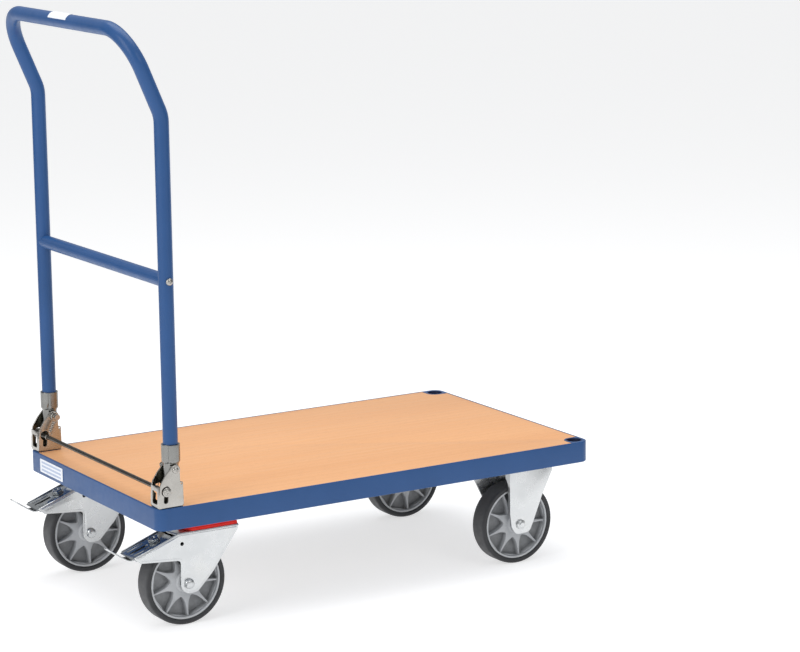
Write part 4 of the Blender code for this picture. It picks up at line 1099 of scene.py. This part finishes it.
# ---------------------------------------------------------------- swivel castors
SWIVEL_CHEEK = [
    (54.5, 173.4, 6), (60.0, 175.6, 4), (181.6, 175.6, 4), (181.8, 168.0, 5), (167.0, 147.0, 40), (128.8, 94.6, 30),
    (97.0, 62.0, 15), (62.6, 56.5, 19), (63.6, 124.0, 7), (-17.0, 130.9, 3), (-29.5, 142.4, 2),
]
for side_name, s in SIDES:
    owner = "caster_" + side_name
    y = s * CASTER_Y
    px, py, pz = CASTER_PLATE
    top = FRAME_BOTTOM - 0.3
    x = KINGPIN_X
    corners = [(x - px / 2, y - py / 2, 8), (x + px / 2, y - py / 2, 8), (x + px / 2, y + py / 2, 8), (x - px / 2, y + py / 2, 8)]
    plate = loft(
        [(fillet(inset(corners, 0.5)), top - pz), (fillet(corners), top - pz + 0.5), (fillet(corners), top - 0.5), (fillet(inset(corners, 0.5)), top)], "Z"
    )
    race = lathe([(9.5, 184.2), (22.2, 184.2), (23.4, 184.8), (24.2, 186.0), (24.5, 187.4), (24.5, 192.6), (9.5, 192.6)], (x, y, 0), (0, 0, 1), 64)
    bore = prism(circle((x, y), 8.7, 40), 150, 210, "Z")
    piece("swivel_plate_zinc_" + side_name, cut(join(plate, race), bore), ZINC, "platform", "zinc_steel", "swivel_plate_" + side_name, sharp=32)
    button_heads(
        "swivel_castor_bolt_heads_" + side_name, x, y, top - pz, 2.1, [(a, b) for a in (-55, 55) for b in (-41, 41)], "platform"
    )
    pin = [(0, 163.4), (10.5, 163.4), (12.0, 163.7), (13.0, 164.8), (13.0, 171.9), (8.0, 171.9), (8.0, 194.9), (0, 194.9)]
    piece("kingpin_zinc_" + side_name, lathe(pin, (x, y, 0), (0, 0, 1), 48), ZINC, "platform", "zinc_steel", "kingpin_" + side_name)

    half = FORK_OUTER

    def plan(radius, width, rear=0.0):
        out = []
        for end in (1, -1):
            radius = radius - rear if end < 0 else radius
            a0 = math.asin(width / radius)
            for k in range(25):
                t = -a0 + 2 * a0 * k / 24
                out.append((x + end * radius * math.cos(t), y + end * radius * math.sin(t)))
        return out

    head = loft(
        [(plan(68.6, half - 0.5), 172.3), (plan(68.6, half - 0.5), 173.2), (plan(68.2, half - 0.9), 174.4), (plan(67.3, half - 1.9), 175.3), (plan(65.8, half - 3.6), 175.8)],
        "Z",
    )
    race = lathe([(12.0, 174.5), (24.5, 174.5), (24.5, 181.2), (24.1, 182.6), (23.0, 183.8), (12.0, 183.8)], (x, y, 0), (0, 0, 1), 64)
    cheeks = [
        pressed_cheek(SWIVEL_CHEEK, y - half, y - half + FORK_SHEET),
        pressed_cheek(SWIVEL_CHEEK, y + half, y + half - FORK_SHEET),
    ]
    trims = [
        prism(circle((SWIVEL_AXLE_X, WHEEL_RADIUS), 6.4, 32), y - 50, y + 50, "Y"),
        prism(circle(PEDAL_PIVOT, 3.6, 28), y - 50, y + 50, "Y"),
        prism(circle((x, y), 8.7, 40), 150, 210, "Z"),
    ]
    piece(
        "swivel_fork_zinc_" + side_name, cut(join(head, race, *cheeks), *trims), ZINC, owner, "zinc_steel", "swivel_fork_" + side_name, sharp=32
    )

    wide = half - 0.9
    seal = loft(
        [
            (plan(65.0, wide - 0.9, 22), 176.2), (plan(65.8, wide, 22), 177.1), (plan(65.8, wide, 22), 180.6), (plan(64.9, wide - 0.9, 22), 181.4),
            (plan(64.9, wide - 0.9, 22), 182.8), (plan(65.8, wide, 22), 183.6), (plan(65.8, wide, 22), 188.2), (plan(65.0, wide - 0.9, 22), 189.2),
        ],
        "Z",
    )
    seal = cut(seal, prism(circle((x, y), 25.6, 64), 150, 210, "Z"))
    piece("swivel_seal_red_" + side_name, seal, RED, owner, "red_seal", "swivel_seal_" + side_name, sharp=40)
    axle(owner, "swivel_" + side_name, SWIVEL_AXLE_X, y, True)
    wheel("swivel_wheel_" + side_name, SWIVEL_AXLE_X, y, 34.0)

    # brake pedal
    brake = "brake_" + side_name
    a, b = Vector((-31.0, 140.5)), Vector((50.0, 169.4))
    d = (b - a).normalized()
    n = Vector((-d.y, d.x))
    low = [(a.x, a.y, 1.2), (b.x, b.y, 0.5), ((b - n * 2.5).x, (b - n * 2.5).y, 0.5), ((a - n * 2.5).x, (a - n * 2.5).y, 1.2)]
    plate = prism(fillet(low, 4), y - 25.6, y + 25.6, "Y")
    ear = [(-26.0, 136.5, 2), (-26.0, 141.0), (48.0, 167.4, 2), (70.0, 165.0, 6), (74.5, 153.0, 8), (63.0, 146.5, 8), (-14.0, 132.5, 3)]
    ears = [prism(fillet(ear, 8), y - 25.6, y - 23.2, "Y"), prism(fillet(ear, 8), y + 23.2, y + 25.6, "Y")]
    spot = a + d * 60.0
    slot = prism(stadium((-20.0, y), (8.0, y), 4.0, 12), 120, 190, "Z")
    shaft = lathe([(0, -20), (3.6, -20), (3.6, 20), (0, 20)], (spot.x, y, spot.y), (n.x, 0, n.y), 32)
    pedal = join(plate, *ears)
    pedal = round_edges(
        pedal, lambda px_, py_, pz_: abs(abs(py_ - y) - 25.6) < 0.02 and abs((Vector((px_, pz_)) - a).dot(n)) < 0.3, 1.6, 4
    )
    pedal = cut(pedal, prism(circle(PEDAL_PIVOT, 3.6, 28), y - 50, y + 50, "Y"), slot, shaft)
    # two pressed ribs beside the slot, for grip
    grips = []
    for dy in (-14.5, 14.5):
        p0, p1 = a + d * 8.0, a + d * 44.0
        outline = [(p0.x, p0.y), (p1.x, p1.y), ((p1 + n * 0.9 - d * 2).x, (p1 + n * 0.9 - d * 2).y), ((p0 + n * 0.9 + d * 2).x, (p0 + n * 0.9 + d * 2).y)]
        grips.append(soften(prism([(q[0] - n.x * 0.5, q[1] - n.y * 0.5) if i < 2 else q for i, q in enumerate(outline)], y + dy - 2.2, y + dy + 2.2, "Y"), 0.35))
    pedal = join(pedal, *grips)
    piece("brake_pedal_zinc_" + side_name, pedal, POLISHED, brake, "zinc_steel", "brake_pedal_" + side_name, sharp=32)
    centre, axis = (spot.x, y, spot.y), (n.x, 0, n.y)
    screw = lathe([(0, 4.0), (3.2, 4.0), (3.2, -4.2), (2.8, -4.6), (0, -4.6)], centre, axis, 32)
    nut = soften(cut(
        lathe([(0, 1.2), (11.4, 1.2), (11.4, 6.2), (9.6, 7.7), (0, 7.7)], centre, axis, 6),
        lathe([(0, 5.6), (3.0, 5.6), (4.2, 6.6), (4.2, 9.0), (0, 9.0)], centre, axis, 28),
    ), 0.35)
    washer = lathe([(0, 0.4), (10.9, 0.4), (11.1, 0.6), (11.1, 1.3), (0, 1.3)], centre, axis, 48)
    piece(
        "brake_adjusting_screw_zinc_" + side_name, join(screw, nut, washer), POLISHED, brake, "zinc_steel", "brake_adjusting_screw_" + side_name
    )
    # release tongue
    line = [Vector(p) for p in ((-6.0, 139.5), (-24.0, 134.6), (-34.0, 135.6), (-42.0, 140.6), (-72.3, 161.6))]
    smooth = [line[0]]
    for i in range(1, 4):
        for t in (0.15, 0.35, 0.5, 0.65, 0.85) if i < 4 else ():
            p0 = line[i - 1].lerp(line[i], 0.62)
            p2 = line[i].lerp(line[i + 1], 0.38 if i < 3 else 0.18)
            smooth.append(p0.lerp(line[i], t).lerp(line[i].lerp(p2, t), t))
    smooth.append(line[4])
    upper, lower = [], []
    for i, p in enumerate(smooth):
        t = (smooth[min(i + 1, len(smooth) - 1)] - smooth[max(i - 1, 0)]).normalized()
        side_dir = Vector((-t.y, t.x))
        upper.append(p + side_dir)
        lower.append(p - side_dir)
    ends = upper + lower[::-1]
    shift = PEDAL_TIP_X - min(p.x for p in ends)
    tongue = soften(prism([(p.x + shift, p.y) for p in ends], y - 14.0, y + 14.0, "Y"), 0.3)
    tip = PEDAL_TIP_X
    shear = []
    for e in (-1, 1):
        edge = [(tip - 3, y + e * 2.0)]
        edge += [(tip + 0.2 + 12.0 * (1 - math.cos(math.radians(a))), y + e * 13.2 * math.sin(math.radians(a))) for a in range(10, 91, 8)]
        edge += [(tip + 13, y + e * 13.6), (-36.0 + shift, y + e * 14.2), (-36.0 + shift, y + e * 17), (tip - 3, y + e * 17)]
        shear.append(prism(edge, 120, 190, "Z"))
    tongue = cut(tongue, *shear)
    a3, b3 = line[3] + Vector((shift, 0)), line[4] + Vector((shift, 0))
    run = (b3 - a3).normalized()
    hem = []
    for k in range(25):
        w = -1.0 + 2.0 * k / 24
        out_y = 12.2 * math.sin(w * math.pi / 2)
        back_by = 2.6 + 12.0 * (1 - math.cos(w * math.pi / 2))
        q = b3 - run * back_by
        hem.append(Vector((q.x, y + out_y, q.y)))
    root = a3 + run * 2.5
    hem = [Vector((root.x, y - 12.6, root.y))] + hem + [Vector((root.x, y + 12.6, root.y))]
    tongue = join(tongue, sweep(hem, 1.5, 14, side=(-run.y, 0, run.x)))
    piece("brake_release_lever_zinc_" + side_name, tongue, ZINC, brake, "zinc_steel", "brake_release_lever_" + side_name)
    pad = []
    for radius, order in ((87.0, 1), (90.2, -1)):
        line = [
            (SWIVEL_AXLE_X + radius * math.cos(math.radians(t)), WHEEL_RADIUS + radius * math.sin(math.radians(t)))
            for t in [108 + 20 * k / 12 for k in range(13)]
        ]
        pad += line[::order]
    piece("brake_shoe_steel_" + side_name, soften(prism(pad, y - 16.0, y + 16.0, "Y"), 0.5), STEEL, brake, "bracket_steel", "brake_shoe_" + side_name)

for spare in (TYRE, RIM, BUSH):
    bpy.data.objects.remove(spare, do_unlink=True)
print("open pieces:", OPEN)

# ---------------------------------------------------------------- floor, lights, camera
bm = bmesh.new()
bmesh.ops.create_circle(bm, cap_ends=True, segments=96, radius=40.0)
me = bpy.data.meshes.new("studio_floor")
bm.to_mesh(me)
bm.free()
floor = bpy.data.objects.new("studio_floor", me)
bpy.context.scene.collection.objects.link(floor)
paint = bpy.data.materials.new("studio_floor_paint")
paint.use_nodes = True
shader = paint.node_tree.nodes["Principled BSDF"]
shader.inputs["Base Color"].default_value = (0.62, 0.62, 0.625, 1.0)
shader.inputs["Roughness"].default_value = 0.8
shader.inputs["Specular IOR Level"].default_value = 0.1
shader.inputs["Emission Color"].default_value = (1.0, 1.0, 1.0, 1.0)
shader.inputs["Emission Strength"].default_value = 0.60
me.materials.append(paint)

world = bpy.data.worlds.new("studio")
bpy.context.scene.world = world
world.use_nodes = True
sky = world.node_tree
sky.nodes["Background"].inputs["Color"].default_value = (0.97, 0.985, 1.0, 1.0)
sky.nodes["Background"].inputs["Strength"].default_value = 0.46
white = sky.nodes.new("ShaderNodeBackground")
white.inputs["Color"].default_value = (1.0, 1.0, 1.0, 1.0)
rays = sky.nodes.new("ShaderNodeLightPath")
choice = sky.nodes.new("ShaderNodeMixShader")
sky.links.new(rays.outputs["Is Camera Ray"], choice.inputs[0])
sky.links.new(sky.nodes["Background"].outputs[0], choice.inputs[1])
sky.links.new(white.outputs[0], choice.inputs[2])
sky.links.new(choice.outputs[0], sky.nodes["World Output"].inputs["Surface"])


def lamp(name, spot, aim, size, power, colour=(1, 1, 1)):
    data = bpy.data.lights.new(name, "AREA")
    data.shape = "RECTANGLE"
    data.size, data.size_y = size
    data.energy = power
    data.color = colour
    ob = bpy.data.objects.new(name, data)
    bpy.context.scene.collection.objects.link(ob)
    ob.location = spot
    ob.rotation_mode = "QUATERNION"
    ob.rotation_quaternion = (Vector(aim) - Vector(spot)).to_track_quat("-Z", "Y")


lamp("softbox_top", (0.2, 0.3, 3.4), (0.0, 0.0, 0.3), (3.4, 2.6), 74)
lamp("softbox_left", (-3.4, -1.0, 2.0), (0.0, 0.0, 0.4), (1.8, 2.2), 46)
lamp("softbox_front", (0.6, -4.4, 3.0), (0.0, 0.0, 0.4), (2.0, 1.4), 26)


def flag(name, spot, aim, size):
    """Dark card that only shows in reflections, for edges on bright metal."""
    bm = bmesh.new()
    bmesh.ops.create_grid(bm, x_segments=1, y_segments=1, size=0.5)
    bmesh.ops.scale(bm, vec=(size[0], size[1], 1.0), verts=bm.verts)
    me = bpy.data.meshes.new(name)
    bm.to_mesh(me)
    bm.free()
    ob = bpy.data.objects.new(name, me)
    bpy.context.scene.collection.objects.link(ob)
    ob.location = spot
    ob.rotation_mode = "QUATERNION"
    ob.rotation_quaternion = (Vector(aim) - Vector(spot)).to_track_quat("-Z", "Y")
    card = bpy.data.materials.new(name + "_black")
    card.use_nodes = True
    card.node_tree.nodes["Principled BSDF"].inputs["Base Color"].default_value = (0.02, 0.02, 0.022, 1.0)
    card.node_tree.nodes["Principled BSDF"].inputs["Roughness"].default_value = 0.9
    me.materials.append(card)
    ob.visible_camera = False
    ob.visible_diffuse = False
    ob.visible_shadow = False


flag("reflection_flag_right", (2.4, -1.6, 0.75), (0.0, 0.0, 0.45), (2.2, 1.5))
flag("reflection_flag_left", (-2.0, 1.9, 0.75), (0.0, 0.0, 0.45), (1.6, 1.5))

cam_data = bpy.data.cameras.new("camera")
cam_data.lens = 127.4
cam_data.sensor_width = 36.0
cam_data.sensor_fit = "HORIZONTAL"
cam_data.clip_end = 200.0
cam = bpy.data.objects.new("camera", cam_data)
bpy.context.scene.collection.objects.link(cam)
az, el, roll = math.radians(-31.371), math.radians(11.334), math.radians(-0.686)
back = Vector((math.sin(az) * math.cos(el), -math.cos(az) * math.cos(el), math.sin(el)))
right = Vector((0, 0, 1)).cross(back).normalized()
up = back.cross(right)
cx = right * math.cos(roll) + up * math.sin(roll)
cy = -right * math.sin(roll) + up * math.cos(roll)
at = Vector((-2.58105, -4.63254, 1.53399))
cam.matrix_world = Matrix(
    ((cx.x, cy.x, back.x, at.x), (cx.y, cy.y, back.y, at.y), (cx.z, cy.z, back.z, at.z), (0, 0, 0, 1))
)
bpy.context.scene.camera = cam
bpy.context.scene.view_settings.view_transform = "Standard"
